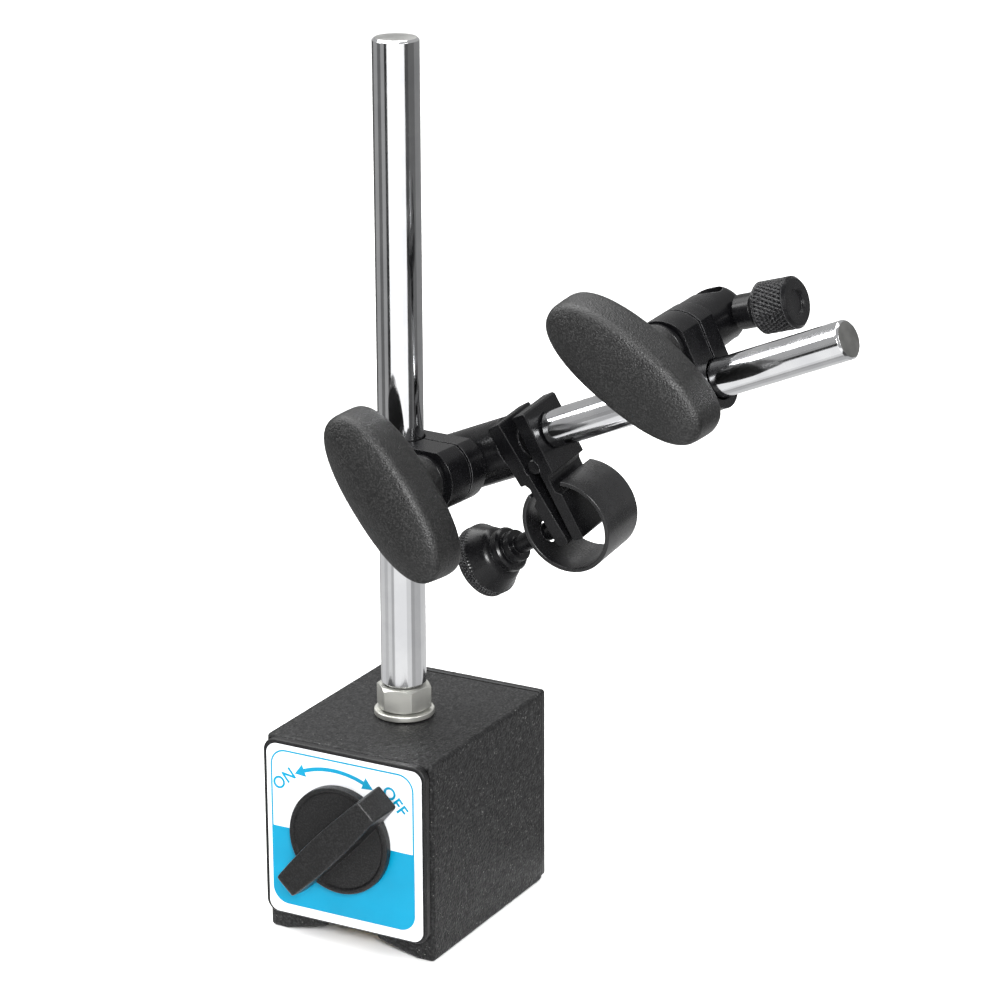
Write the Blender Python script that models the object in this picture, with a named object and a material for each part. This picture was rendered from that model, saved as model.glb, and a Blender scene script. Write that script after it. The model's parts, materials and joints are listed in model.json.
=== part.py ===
"""Magnetic base stand for a dial gauge: switchable magnet, column, fine-adjust arm and two split clamps.

Metres, +Z up. The base stands on z = 0 and the model is centred over the origin. The arm is a chain of
empties, one on each joint axis, so each piece is modelled in the frame of the joint that carries it.
"""

from math import asin, atan2, copysign, cos, pi, radians, sin, sqrt, tan

import bmesh
import bpy
from mathutils import Vector

GAP = 0.0003

# Magnet block and its covers
BLOCK_WIDTH = 0.050
BLOCK_DEPTH = 0.060
BLOCK_HEIGHT = 0.055
BLOCK_BEVEL = 0.0012
GROOVE_WIDTH = 0.040
GROOVE_DEPTH = 0.0031
SLOT_WIDTH = 0.0152
SLOT_TOP_WIDTH = 0.0132
SLOT_DEPTH = 0.008
SPACER_THICK = 0.002
ROTOR_RADIUS = 0.0147
ROTOR_HEIGHT = 0.0316
ROTOR_FLAT = 0.0012
ROTOR_END_CLEARANCE = 0.0030
SHAFT_RADIUS = 0.004
COVER_MARGIN = 0.0006
COVER_BOTTOM = 0.0057
COVER_TOP_MARGIN = 0.0001
COVER_THICK = 0.0022
COVER_CORNER = 0.0035
LABEL_THICK = 0.0005
LABEL_MARGIN = 0.0006
COVER_SCREW_RADIUS = 0.0015
COVER_SCREW_HEAD_RADIUS = 0.0028
COVER_SCREW_LENGTH = 0.007
COVER_SCREW_SUNK = 0.0002
COVER_SCREW_INSET = 0.0055

# Switch knob
KNOB_RADIUS = 0.01475
KNOB_DISC_THICK = 0.0025
KNOB_EDGE = 0.0006
KNOB_ANGLE = radians(44)
KNOB_BAR_LENGTH = 0.0424
KNOB_BAR_TOP_LENGTH = 0.0362
KNOB_BAR_WIDTH = 0.0083
KNOB_BAR_END_WIDTH = 0.0064
KNOB_BAR_DRAFT = 0.0004
KNOB_BAR_CLEARANCE = 0.0006
KNOB_HEIGHT = 0.0091

# Column, its washer and its nut
COLUMN_RADIUS = 0.006
COLUMN_TOP = 0.2358
COLUMN_SETBACK = 0.001
COLUMN_CHAMFER = 0.0006
SPIGOT_RADIUS = 0.004
SPIGOT_DEPTH = 0.0068
WASHER_RADIUS = 0.008
WASHER_THICK = 0.0016
NUT_ACROSS_FLATS = 0.013
NUT_HEIGHT = 0.0065
NUT_TURN = radians(15)
NUT_CHAMFER_SLOPE = radians(30)

# Split clamps, in their own frame: ears along +X, stud along +Y, bore along Z
CLAMP_WIDTH = 0.0153
CLAMP_HEIGHT = 0.016
CLAMP_EAR_RADIUS = 0.009
CLAMP_EAR_MARGIN = 0.0040
CLAMP_SLIT = 0.0008
CLAMP_SLIT_OFFSET = 0.00105
STUD_RADIUS = 0.004
CLAMP_WASHER_RADIUS = 0.0072
CLAMP_WASHER_THICK = 0.0016

# Lower clamp
LOWER_CLAMP_HEIGHT = 0.124
LOWER_CLAMP_YAW = radians(-5)
LOWER_STUD_REACH = 0.0125

# Wing knobs
WING_LENGTH = 0.049
WING_WIDTH = 0.0205
WING_THICK = 0.0134
WING_SQUARENESS = 2.3
# Sections from the back to the face: inset as a share of half the width, depth as a share of the thickness
WING_SECTIONS = ((0.12, 0), (0.03, 0.06), (0, 0.22), (0.03, 0.62), (0.10, 0.78), (0.22, 0.88), (0.40, 0.94),
                 (0.62, 0.98), (0.84, 1.0))
HUB_RADIUS = 0.0075
HUB_LENGTH = 0.0062
INSERT_WALL = 0.0016
INSERT_LENGTH = 0.0115
LOWER_WING_ANGLE = radians(51)
UPPER_WING_ANGLE = radians(56)

# Swivel head and fine-adjust levers
ARM_TILT = radians(23.4)
HEAD_RADIUS = 0.008
HEAD_TAIL = 0.009
HEAD_SPIGOT_RADIUS = 0.0045
HEAD_EDGE = 0.0008
FINE_ROLL = radians(8.2)
PIVOT_REACH = 0.0213
PIVOT_DROP = 0.0054
PIVOT_RADIUS = 0.002
PIVOT_LENGTH = 0.014
LEVER_WIDTH = 0.016
LEVER_TOP = 0.0142
LEVER_BOTTOM = 0.0215
LEFT_LEVER_TILT = radians(7.7)
LEFT_LEVER_INNER = 0.0019
LEFT_LEVER_OUTER = 0.0062
RIGHT_LEVER_TILT = radians(2.5)
RIGHT_LEVER_INNER = 0.0016
RIGHT_LEVER_OUTER = 0.0056
NOTCH_TOP = 0.0031
NOTCH_DEPTH = 0.0021
NOTCH_BOTTOM = 0.0078
LEVER_CORNER = 0.0006

# Band spring round the lever legs, and the screw that spreads them
RING_RADIUS = 0.0127
RING_WALL = 0.0012
RING_DROP = 0.0173
RING_SHIFT = 0.0004
RING_END_OFFSET = 0.0052
SCREW_RADIUS = 0.0025
SCREW_DROP = 0.0175
SCREW_TIP_GAP = 0.00105
SCREW_HEAD_RADIUS = 0.00975
SCREW_HEAD_WIDTH = 0.0042
SCREW_HEAD_REACH = 0.037
SCREW_HEAD_EDGE = 0.0007
SCREW_DISH_RADIUS = 0.0042
SCREW_DISH_DEPTH = 0.0006
SCREW_CONE_RADIUS = 0.0070
SCREW_CONE_LENGTH = 0.0044
SCREW_COLLAR_RADIUS = 0.0060
SCREW_COLLAR_LENGTH = 0.0032
SCREW_NECK_RADIUS = 0.0043
SCREW_NECK_LENGTH = 0.0024

# Arm rod
ROD_RADIUS = 0.005
ROD_RISE = 0.00125
ROD_END = 0.119
ROD_CHAMFER = 0.0005
ROD_SPIGOT_RADIUS = 0.0035

# Upper clamp, stem head and stem screw
UPPER_CLAMP_PLACE = 0.0722
UPPER_ROLL = radians(5)
UPPER_STUD_REACH = 0.0121
UPPER_EAR_MARGIN = 0.0028
STEM_HEAD_RADIUS = 0.0075
STEM_HEAD_LENGTH = 0.0182
STEM_HEAD_ROUND = 0.0045
STEM_HOLE_RADIUS = 0.004
STEM_HOLE_PLACE = 0.0201
STEM_HOLE_CHAMFER = 0.0006
STEM_HOLE_WALL = 0.0022
STEM_HEAD_EDGE = 0.0004
STEM_SCREW_TURN = radians(6.2)
STEM_SCREW_RADIUS = 0.0025
STEM_SCREW_COLLAR_RADIUS = 0.0045
STEM_SCREW_HEAD_RADIUS = 0.0067
STEM_SCREW_HEAD_LENGTH = 0.0105
STEM_SCREW_REACH = 0.0247
STEM_SCREW_RECESS_RADIUS = 0.0031
STEM_SCREW_RECESS_DEPTH = 0.0008
STEM_SCREW_NECK_LENGTH = 0.0010

SEGMENTS = 32
KNURL_SEGMENTS = 28
SMALL_SEGMENTS = 20
ARC_STEPS = 8
RING_STEPS = 44
SMOOTH_ANGLE = radians(32)
BEVEL_ANGLE = radians(50)
OVERCUT = 0.002


# --- Materials -------------------------------------------------------------------------------------


def material(name, color, roughness, metallic):
    made = bpy.data.materials.new(name)
    made.use_nodes = True
    shader = made.node_tree.nodes["Principled BSDF"]
    shader.inputs["Base Color"].default_value = (*color, 1)
    shader.inputs["Roughness"].default_value = roughness
    shader.inputs["Metallic"].default_value = metallic
    return made


def make_finishes():
    return {
        "crinkle_paint": material("crinkle_paint", (0.018, 0.018, 0.019), 0.6, 0),
        "brass": material("brass", (0.70, 0.52, 0.24), 0.35, 1),
        "ferrite": material("ferrite", (0.05, 0.05, 0.055), 0.7, 0),
        "steel": material("steel", (0.50, 0.50, 0.51), 0.35, 1),
        "black_plastic": material("black_plastic", (0.014, 0.014, 0.015), 0.45, 0),
        "wing_plastic": material("wing_plastic", (0.035, 0.035, 0.036), 0.5, 0),
        "label": material("label", (0.10, 0.55, 0.85), 0.4, 0),
        "chrome": material("chrome", (0.75, 0.75, 0.76), 0.08, 1),
        "zinc": material("zinc", (0.62, 0.60, 0.55), 0.3, 1),
        "black_oxide": material("black_oxide", (0.05, 0.05, 0.053), 0.35, 0.8),
        "spring_steel": material("spring_steel", (0.045, 0.045, 0.048), 0.3, 0.8),
    }


# --- Mesh building ---------------------------------------------------------------------------------


def turned(axis, height, across, up):
    """A point at this height along the axis, with its two other coordinates in right-handed order."""
    if axis == "X":
        return (height, across, up)
    if axis == "Y":
        return (up, height, across)
    return (across, up, height)


def finish_object(name, mesh_data, finish, parent):
    obj = bpy.data.objects.new(name, mesh_data)
    bpy.context.scene.collection.objects.link(obj)
    obj.parent = parent
    if finish is not None:
        mesh_data.materials.append(finish)
        mesh_data.shade_smooth()
        mesh_data.set_sharp_from_angle(angle=SMOOTH_ANGLE)
    return obj


def mesh_from(bm, name):
    bmesh.ops.recalc_face_normals(bm, faces=bm.faces)
    mesh_data = bpy.data.meshes.new(name)
    bm.to_mesh(mesh_data)
    bm.free()
    return mesh_data


def loft(name, rings, finish, parent, looped=False):
    """Skins a stack of rings. A ring of one point is a pole, and looped joins the last ring to the first."""
    bm = bmesh.new()
    stack = [[bm.verts.new(point) for point in ring] for ring in rings]
    pairs = list(zip(stack, stack[1:]))
    if looped:
        pairs.append((stack[-1], stack[0]))
    for low, high in pairs:
        count = max(len(low), len(high))
        for i in range(count):
            j = (i + 1) % count
            corners = [low[i % len(low)], low[j % len(low)], high[j % len(high)], high[i % len(high)]]
            bm.faces.new(list(dict.fromkeys(corners)))
    return finish_object(name, mesh_from(bm, name), finish, parent)


def circle(radius, height, axis, segments):
    if radius == 0:
        return [turned(axis, height, 0, 0)]
    turns = [2 * pi * i / segments for i in range(segments)]
    return [turned(axis, height, radius * cos(turn), radius * sin(turn)) for turn in turns]


def lathe(name, profile, finish, parent, axis="Z", segments=SEGMENTS, looped=False):
    """Turns a profile of (radius, height) points round the axis."""
    rings = [circle(radius, height, axis, segments) for radius, height in profile]
    return loft(name, rings, finish, parent, looped)


def rod(name, radius, low, high, finish, parent, axis="Z", segments=SEGMENTS, chamfer=0.0):
    profile = [(0, low), (radius - chamfer, low), (radius, low + chamfer)]
    profile += [(radius, high - chamfer), (radius - chamfer, high), (0, high)]
    if chamfer == 0:
        profile = [(0, low), (radius, low), (radius, high), (0, high)]
    return lathe(name, profile, finish, parent, axis, segments)


def prism(name, outline, low, high, finish, parent, axis="Z"):
    """Extrudes an outline of (across, up) points along the axis."""
    bm = bmesh.new()
    ends = [[bm.verts.new(turned(axis, end, *point)) for point in outline] for end in (low, high)]
    bm.faces.new(ends[0])
    bm.faces.new(ends[1])
    for i in range(len(outline)):
        j = (i + 1) % len(outline)
        bm.faces.new([ends[0][i], ends[0][j], ends[1][j], ends[1][i]])
    return finish_object(name, mesh_from(bm, name), finish, parent)


def box(name, low, high, finish, parent):
    outline = [(low[0], low[1]), (high[0], low[1]), (high[0], high[1]), (low[0], high[1])]
    return prism(name, outline, low[2], high[2], finish, parent)


def half_space(name, low_x, high_x, parent):
    """A large block between two X values, which trims what reaches into it."""
    return box(name, (low_x, -BLOCK_WIDTH, -BLOCK_WIDTH), (high_x, BLOCK_WIDTH, BLOCK_WIDTH), None, parent)


def arc(center, radius, start, end, steps=ARC_STEPS):
    turns = [start + (end - start) * i / steps for i in range(steps + 1)]
    return [(center[0] + radius * cos(turn), center[1] + radius * sin(turn)) for turn in turns]


def rounded_rectangle(low, high, radius):
    corners = [(high, 0), ((low[0], high[1]), 1), (low, 2), ((high[0], low[1]), 3)]
    outline = []
    for (x, y), quarter in corners:
        center = (x - copysign(radius, x), min(max(y, low[1] + radius), high[1] - radius))
        outline += arc(center, radius, quarter * pi / 2, (quarter + 1) * pi / 2)
    return outline


def modify(obj, operation, cutter):
    step = obj.modifiers.new(cutter.name, "BOOLEAN")
    step.operation = operation
    step.solver = "EXACT"
    step.object = cutter
    cutter.hide_render = True
    cutter.display_type = "WIRE"


def cut(obj, *cutters):
    for cutter in cutters:
        modify(obj, "DIFFERENCE", cutter)


def bevel(obj, width, segments=2):
    step = obj.modifiers.new("edge_round", "BEVEL")
    step.width = width
    step.segments = segments
    step.limit_method = "ANGLE"
    step.angle_limit = BEVEL_ANGLE


def frame(name, parent, location, rotation=(0, 0, 0)):
    """An empty on a joint axis. Its children are modelled about it."""
    empty = bpy.data.objects.new(name, None)
    empty.empty_display_size = 0.01
    bpy.context.scene.collection.objects.link(empty)
    empty.parent = parent
    empty.location = location
    empty.rotation_euler = rotation
    return empty


# --- Magnet block ----------------------------------------------------------------------------------


def make_pole(name, side, finish, parent, cutters):
    """One iron half of the block. Side is -1 on the left and 1 on the right."""
    inner = side * (SPACER_THICK / 2 + GAP)
    outer = side * BLOCK_WIDTH / 2
    foot = side * GROOVE_WIDTH / 2
    slot, slot_top = side * SLOT_WIDTH / 2, side * SLOT_TOP_WIDTH / 2
    outline = [(inner, SLOT_DEPTH), (slot_top, SLOT_DEPTH), (slot, GROOVE_DEPTH), (foot, 0), (outer, 0)]
    outline += [(outer, BLOCK_HEIGHT), (inner, BLOCK_HEIGHT)]
    upright = [(up, across) for across, up in outline]
    pole = prism(name, upright, -BLOCK_DEPTH / 2, BLOCK_DEPTH / 2, finish, parent, "Y")
    outside = box(name + "_outside", *block_corners(), None, parent)
    bevel(outside, BLOCK_BEVEL)
    modify(pole, "INTERSECT", outside)
    cut(pole, *cutters)
    return pole


def block_corners():
    half = Vector((BLOCK_WIDTH / 2, BLOCK_DEPTH / 2))
    return (-half.x, -half.y, 0), (half.x, half.y, BLOCK_HEIGHT)


def make_spacers(finishes, parent, cutters):
    half = SPACER_THICK / 2
    depth = BLOCK_DEPTH / 2 - BLOCK_BEVEL
    bore = ROTOR_RADIUS + GAP
    wall = sqrt(bore * bore - half * half)
    low = (-half, -depth, SLOT_DEPTH)
    high = (half, depth, ROTOR_HEIGHT - wall)
    cut(box("spacer_bottom", low, high, finishes["brass"], parent), cutters[0])
    low = (-half, -depth, ROTOR_HEIGHT + wall - GAP)
    high = (half, depth, BLOCK_HEIGHT - BLOCK_BEVEL / 4)
    cut(box("spacer_top", low, high, finishes["brass"], parent), *cutters)


def cover_screw_places():
    across = BLOCK_WIDTH / 2 - COVER_MARGIN - COVER_SCREW_INSET
    low = COVER_BOTTOM + COVER_SCREW_INSET
    high = BLOCK_HEIGHT - COVER_TOP_MARGIN - COVER_SCREW_INSET
    return [(-across, high), (across, low), (across, high), (-across, low)]


def make_cover_screw(name, place, side, finishes, parent, clearance=0.0):
    """A countersunk screw through a cover. Its clearance cutter is the same shape, grown all round."""
    surface = BLOCK_DEPTH / 2 + GAP + COVER_THICK
    head_top = surface - COVER_SCREW_SUNK
    thread, head = COVER_SCREW_RADIUS + clearance, COVER_SCREW_HEAD_RADIUS + clearance
    end = surface - COVER_SCREW_LENGTH - clearance
    cone_top = head_top - clearance
    profile = [(0, end), (thread, end), (thread, cone_top - (head - thread)), (head, cone_top)]
    if clearance:
        profile.append((head, surface + OVERCUT))
    profile.append((0, profile[-1][1]))
    finish = None if clearance else finishes["steel"]
    screw = lathe(name, [(r, side * y) for r, y in profile], finish, parent, "Y", SMALL_SEGMENTS)
    screw.location = (place[0], 0, place[1])
    return screw


def cover_outline(margin):
    """The covers' outline as (up, across) points."""
    half = BLOCK_WIDTH / 2 - COVER_MARGIN - margin
    low = (-half, COVER_BOTTOM + margin)
    high = (half, BLOCK_HEIGHT - COVER_TOP_MARGIN - margin)
    return [(up, across) for across, up in rounded_rectangle(low, high, COVER_CORNER)]


def make_base(finishes, parent):
    bore = rod("rotor_bore", ROTOR_RADIUS + GAP, -BLOCK_DEPTH, BLOCK_DEPTH, None, parent, "Y")
    bore.location = (0, 0, ROTOR_HEIGHT)
    low = BLOCK_HEIGHT - SPIGOT_DEPTH - GAP
    socket = rod("column_socket", SPIGOT_RADIUS + GAP, low, BLOCK_HEIGHT + OVERCUT, None, parent)
    socket.location = (0, -COLUMN_SETBACK, 0)
    front = [(i, place, -1) for i, place in enumerate(cover_screw_places()[:2])]
    rear = [(i, place, 1) for i, place in enumerate(cover_screw_places())]
    holes = {-1: [], 1: []}
    for index, place, side in front + rear:
        label = ("front" if side < 0 else "rear") + "_cover_screw_" + str(index + 1)
        make_cover_screw(label, place, side, finishes, parent)
        holes[side].append(make_cover_screw(label + "_hole", place, side, finishes, parent, GAP))
    cutters = [bore, socket, *holes[-1], *holes[1]]
    make_pole("pole_left", -1, finishes["crinkle_paint"], parent, cutters)
    make_pole("pole_right", 1, finishes["crinkle_paint"], parent, cutters)
    make_spacers(finishes, parent, [bore, socket])
    shaft_hole = rod("shaft_hole", SHAFT_RADIUS + GAP, -BLOCK_DEPTH, 0, None, parent, "Y")
    shaft_hole.location = (0, 0, ROTOR_HEIGHT)
    make_covers(finishes, parent, shaft_hole, holes)


def make_covers(finishes, parent, shaft_hole, holes):
    inside = BLOCK_DEPTH / 2 + GAP
    outside = inside + COVER_THICK
    plastic = finishes["black_plastic"]
    cover = prism("front_cover", cover_outline(0), -outside, -inside, plastic, parent, "Y")
    cut(cover, shaft_hole, *holes[-1])
    back = -outside - GAP
    outline = cover_outline(LABEL_MARGIN)
    label = prism("label_plate", outline, back - LABEL_THICK, back, finishes["label"], parent, "Y")
    cut(label, shaft_hole)
    cover = prism("rear_cover", cover_outline(0), inside, outside, plastic, parent, "Y")
    cut(cover, *holes[1])


# --- Magnet switch ---------------------------------------------------------------------------------


def make_switch(finishes, parent):
    axis = frame("switch_axis", parent, (0, 0, ROTOR_HEIGHT))
    reach = BLOCK_DEPTH / 2 - ROTOR_END_CLEARANCE
    hole = SHAFT_RADIUS + GAP
    profile = [(hole, -reach), (ROTOR_RADIUS, -reach), (ROTOR_RADIUS, reach), (hole, reach)]
    rotor = lathe("magnet_rotor", profile, finishes["ferrite"], axis, "Y", looped=True)
    for side in (-1, 1):
        flat = ROTOR_RADIUS - ROTOR_FLAT
        low, high = sorted((side * flat, side * (flat + OVERCUT)))
        name = "rotor_flat_left" if side < 0 else "rotor_flat_right"
        cut(rotor, box(name, (low, -BLOCK_DEPTH, -flat), (high, BLOCK_DEPTH, flat), None, axis))
    face = -(BLOCK_DEPTH / 2 + 3 * GAP + COVER_THICK + LABEL_THICK)
    tip = face - KNOB_HEIGHT / 2
    rod("rotor_shaft", SHAFT_RADIUS, tip, reach, finishes["steel"], axis, "Y", SMALL_SEGMENTS)
    make_switch_knob(face, tip, finishes, axis)


def bar_outline(half_length, spread, height):
    """The handle's section at this height along Y, long along X, widest in the middle."""
    middle, end = KNOB_BAR_WIDTH / 2 + spread, KNOB_BAR_END_WIDTH / 2 + spread
    shares = [2 * i / ARC_STEPS - 1 for i in range(ARC_STEPS + 1)]
    side = [(share * half_length, middle - (middle - end) * share**2) for share in shares]
    return [(x, height, z) for x, z in side] + [(x, height, -z) for x, z in reversed(side)]


def make_switch_knob(face, tip, finishes, axis):
    """A disc and the handle across it, whose drafted ends reach past the disc, just clear of the label."""
    front = face - KNOB_DISC_THICK
    edge = KNOB_EDGE
    profile = [(0, face), (KNOB_RADIUS, face), (KNOB_RADIUS, front + edge), (KNOB_RADIUS - edge, front)]
    profile.append((0, front))
    knob = lathe("switch_knob", profile, finishes["black_plastic"], axis, "Y")
    low = bar_outline(KNOB_BAR_LENGTH / 2, KNOB_BAR_DRAFT, face - KNOB_BAR_CLEARANCE)
    high = bar_outline(KNOB_BAR_TOP_LENGTH / 2, 0, face - KNOB_HEIGHT)
    poles = [[(0, face - reach, 0)] for reach in (KNOB_BAR_CLEARANCE, KNOB_HEIGHT)]
    handle = loft("switch_handle", [poles[0], low, high, poles[1]], None, axis)
    bevel(handle, edge)
    handle.rotation_euler = (0, KNOB_ANGLE - pi / 2, 0)
    modify(knob, "UNION", handle)
    bore = SHAFT_RADIUS + GAP
    cut(knob, rod("switch_knob_hole", bore, tip - GAP, face + OVERCUT, None, axis, "Y", SMALL_SEGMENTS))


# --- Column ----------------------------------------------------------------------------------------


def make_column(finishes, parent):
    """The column screws into the block and is locked by a nut on a washer. Returns the column's axis."""
    low = BLOCK_HEIGHT + GAP
    washer_top = low + WASHER_THICK
    nut_low = washer_top + GAP
    nut_top = nut_low + NUT_HEIGHT
    hole = SPIGOT_RADIUS + GAP
    seat = frame("column_seat", parent, (0, -COLUMN_SETBACK, 0))
    profile = [(hole, low), (WASHER_RADIUS, low), (WASHER_RADIUS, washer_top), (hole, washer_top)]
    lathe("column_washer", profile, finishes["zinc"], seat, looped=True)
    corner = NUT_ACROSS_FLATS / sqrt(3)
    hexagon = [(corner * cos(i * pi / 3), corner * sin(i * pi / 3)) for i in range(6)]
    nut = prism("column_nut", hexagon, nut_low, nut_top, finishes["zinc"], seat)
    nut.rotation_euler = (0, 0, NUT_TURN)
    modify(nut, "INTERSECT", make_nut_chamfer(nut_low, nut_top, corner, seat))
    cut(nut, rod("nut_hole", hole, 0, BLOCK_HEIGHT * 2, None, seat))
    axis = frame("column_axis", seat, (0, 0, 0))
    shoulder = nut_top + GAP
    profile = [(0, BLOCK_HEIGHT - SPIGOT_DEPTH), (SPIGOT_RADIUS, BLOCK_HEIGHT - SPIGOT_DEPTH)]
    profile += [(SPIGOT_RADIUS, shoulder), (COLUMN_RADIUS - COLUMN_CHAMFER, shoulder)]
    profile += [(COLUMN_RADIUS, shoulder + COLUMN_CHAMFER), (COLUMN_RADIUS, COLUMN_TOP - COLUMN_CHAMFER)]
    profile += [(COLUMN_RADIUS - COLUMN_CHAMFER, COLUMN_TOP), (0, COLUMN_TOP)]
    lathe("column", profile, finishes["chrome"], axis)
    return axis


def make_nut_chamfer(low, high, corner, parent):
    """A turned blank that trims the corners of both faces of the nut."""
    rim = NUT_ACROSS_FLATS / 2
    reach = corner + OVERCUT
    rise = (reach - rim) * tan(NUT_CHAMFER_SLOPE)
    profile = [(0, low), (rim, low), (reach, low + rise), (reach, high - rise), (rim, high), (0, high)]
    return lathe("nut_blank", profile, None, parent)


# --- Split clamps, studs and wing knobs ------------------------------------------------------------


def make_clamp(name, bar_radius, stud_reach, ear_margin, finishes, parent):
    """A split block: it wraps a bar along Z, its ears point along +X, and its stud runs along Y."""
    half, flat = CLAMP_WIDTH / 2, CLAMP_HEIGHT / 2
    corner = stud_reach + ear_margin
    ear_center = corner - sqrt(CLAMP_EAR_RADIUS**2 - flat**2)
    turn = atan2(flat, corner - ear_center)
    outline = arc((ear_center, 0), CLAMP_EAR_RADIUS, -turn, turn, 2 * ARC_STEPS)
    outline += [(-half, flat), (-half, -flat)]
    side_view = [(up, across) for across, up in outline]
    clamp = prism(name, side_view, -half, half, finishes["black_oxide"], parent, "Y")
    reach = corner + CLAMP_EAR_RADIUS
    plan = arc((0, 0), half, pi / 2, 3 * pi / 2, 2 * ARC_STEPS) + [(reach, -half), (reach, half)]
    modify(clamp, "INTERSECT", prism(name + "_plan", plan, -CLAMP_HEIGHT, CLAMP_HEIGHT, None, parent))
    bore = rod(name + "_bore", bar_radius + GAP, -CLAMP_HEIGHT, CLAMP_HEIGHT, None, parent)
    slit_low = CLAMP_SLIT_OFFSET - CLAMP_SLIT / 2
    low = (0, slit_low, -CLAMP_HEIGHT)
    high = (2 * reach, slit_low + CLAMP_SLIT, CLAMP_HEIGHT)
    slit = box(name + "_slit", low, high, None, parent)
    hole_name = name + "_stud_hole"
    hole = rod(hole_name, STUD_RADIUS + GAP, -CLAMP_WIDTH, CLAMP_WIDTH, None, parent, "Y", SMALL_SEGMENTS)
    hole.location = (stud_reach, 0, 0)
    cut(clamp, bore, slit, hole)


def make_clamp_washer(name, finishes, parent):
    """The washer between a clamp's front ear and its wing knob, on the stud's axis."""
    back = -CLAMP_WIDTH / 2 - GAP
    hole = STUD_RADIUS + GAP
    profile = [(hole, back - CLAMP_WASHER_THICK), (CLAMP_WASHER_RADIUS, back - CLAMP_WASHER_THICK)]
    profile += [(CLAMP_WASHER_RADIUS, back), (hole, back)]
    lathe(name, profile, finishes["black_oxide"], parent, "Y", SMALL_SEGMENTS, looped=True)


def rounded(value):
    """A sine or cosine, reshaped so that the oval it draws has fuller corners."""
    return copysign(abs(value) ** (2 / WING_SQUARENESS), value)


def wing_outline(inset, height):
    """One oval section of a wing knob, long along X, as a ring at this height along Y."""
    length, width = WING_LENGTH / 2 - inset, WING_WIDTH / 2 - inset
    turns = [2 * pi * i / SEGMENTS for i in range(SEGMENTS)]
    return [(rounded(sin(turn)) * length, height, rounded(cos(turn)) * width) for turn in turns]


def make_wing_knob(name, angle, finishes, parent):
    """A moulded oval knob with a round hub and a threaded brass insert. The stud's axis is Y."""
    hub = -(CLAMP_WIDTH / 2 + 2 * GAP + CLAMP_WASHER_THICK)
    back = hub - HUB_LENGTH
    insert_radius = STUD_RADIUS + GAP + INSERT_WALL
    pocket = insert_radius + GAP
    pocket_end = hub - INSERT_LENGTH - 2 * GAP
    profile = [(0, pocket_end), (pocket, pocket_end), (pocket, hub), (HUB_RADIUS, hub), (HUB_RADIUS, back)]
    rings = [circle(radius, height, "Y", SEGMENTS) for radius, height in profile]
    for inset, depth in WING_SECTIONS:
        rings.append(wing_outline(inset * WING_WIDTH / 2, back - depth * WING_THICK))
    rings.append([(0, back - WING_THICK, 0)])
    knob = loft(name + "_wing_knob", rings, finishes["wing_plastic"], parent)
    knob.rotation_euler = (0, angle, 0)
    hole = STUD_RADIUS + GAP
    end = hub - INSERT_LENGTH - GAP
    profile = [(hole, end), (insert_radius, end), (insert_radius, hub), (hole, hub)]
    lathe(name + "_knob_insert", profile, finishes["brass"], parent, "Y", SMALL_SEGMENTS, looped=True)


def stud_end():
    """Where a stud stops inside its wing knob."""
    return -(CLAMP_WIDTH / 2 + 2 * GAP + CLAMP_WASHER_THICK + INSERT_LENGTH)


# --- Swivel head and fine-adjust levers ------------------------------------------------------------


def lever_profile(inner, outer, side):
    """Half of the lever's section as (up, across), with side -1 for the left lever and 1 for the right."""
    notch = outer - NOTCH_DEPTH
    corner = LEVER_CORNER
    points = [(inner, LEVER_TOP), (outer - corner, LEVER_TOP), (outer, LEVER_TOP - corner)]
    points += [(outer, -NOTCH_TOP), (notch + NOTCH_DEPTH / 3, -NOTCH_TOP), (notch, -NOTCH_TOP - 2 * corner)]
    points += [(notch, -NOTCH_BOTTOM), (outer - corner, -NOTCH_BOTTOM - 2 * corner)]
    points += [(outer - corner, corner - LEVER_BOTTOM), (outer - 2 * corner, -LEVER_BOTTOM)]
    points += [(inner + corner, -LEVER_BOTTOM), (inner, corner - LEVER_BOTTOM)]
    return [(up, side * across) for across, up in points]


def make_head(finishes, swivel, left):
    """The round head behind the lower clamp. The stud screws into it, and its spigot holds a lever."""
    seat = CLAMP_WIDTH / 2 + GAP + HEAD_RADIUS
    axis = frame("head_axis", swivel, (0, seat, 0))
    end = PIVOT_REACH
    profile = [(0, -HEAD_TAIL), (HEAD_RADIUS - HEAD_EDGE, -HEAD_TAIL), (HEAD_RADIUS, HEAD_EDGE - HEAD_TAIL)]
    profile += [(HEAD_RADIUS, end), (0, end)]
    head = lathe("swivel_head", profile, finishes["black_oxide"], axis, "X")
    cut(head, half_space("head_trim", -LEFT_LEVER_OUTER - GAP, BLOCK_WIDTH, left))
    spigot = rod("head_spigot", HEAD_SPIGOT_RADIUS, 0, end, None, axis, "X", SMALL_SEGMENTS)
    cut(spigot, half_space("spigot_trim", -LEFT_LEVER_INNER, BLOCK_WIDTH, left))
    modify(head, "UNION", spigot)
    hole, hole_end = STUD_RADIUS + GAP, seat + STUD_RADIUS
    cut(head, rod("head_stud_hole", hole, 0, hole_end + GAP, None, swivel, "Y", SMALL_SEGMENTS))
    rod("lower_stud", STUD_RADIUS, stud_end(), hole_end, finishes["steel"], swivel, "Y", SMALL_SEGMENTS)
    return axis


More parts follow.
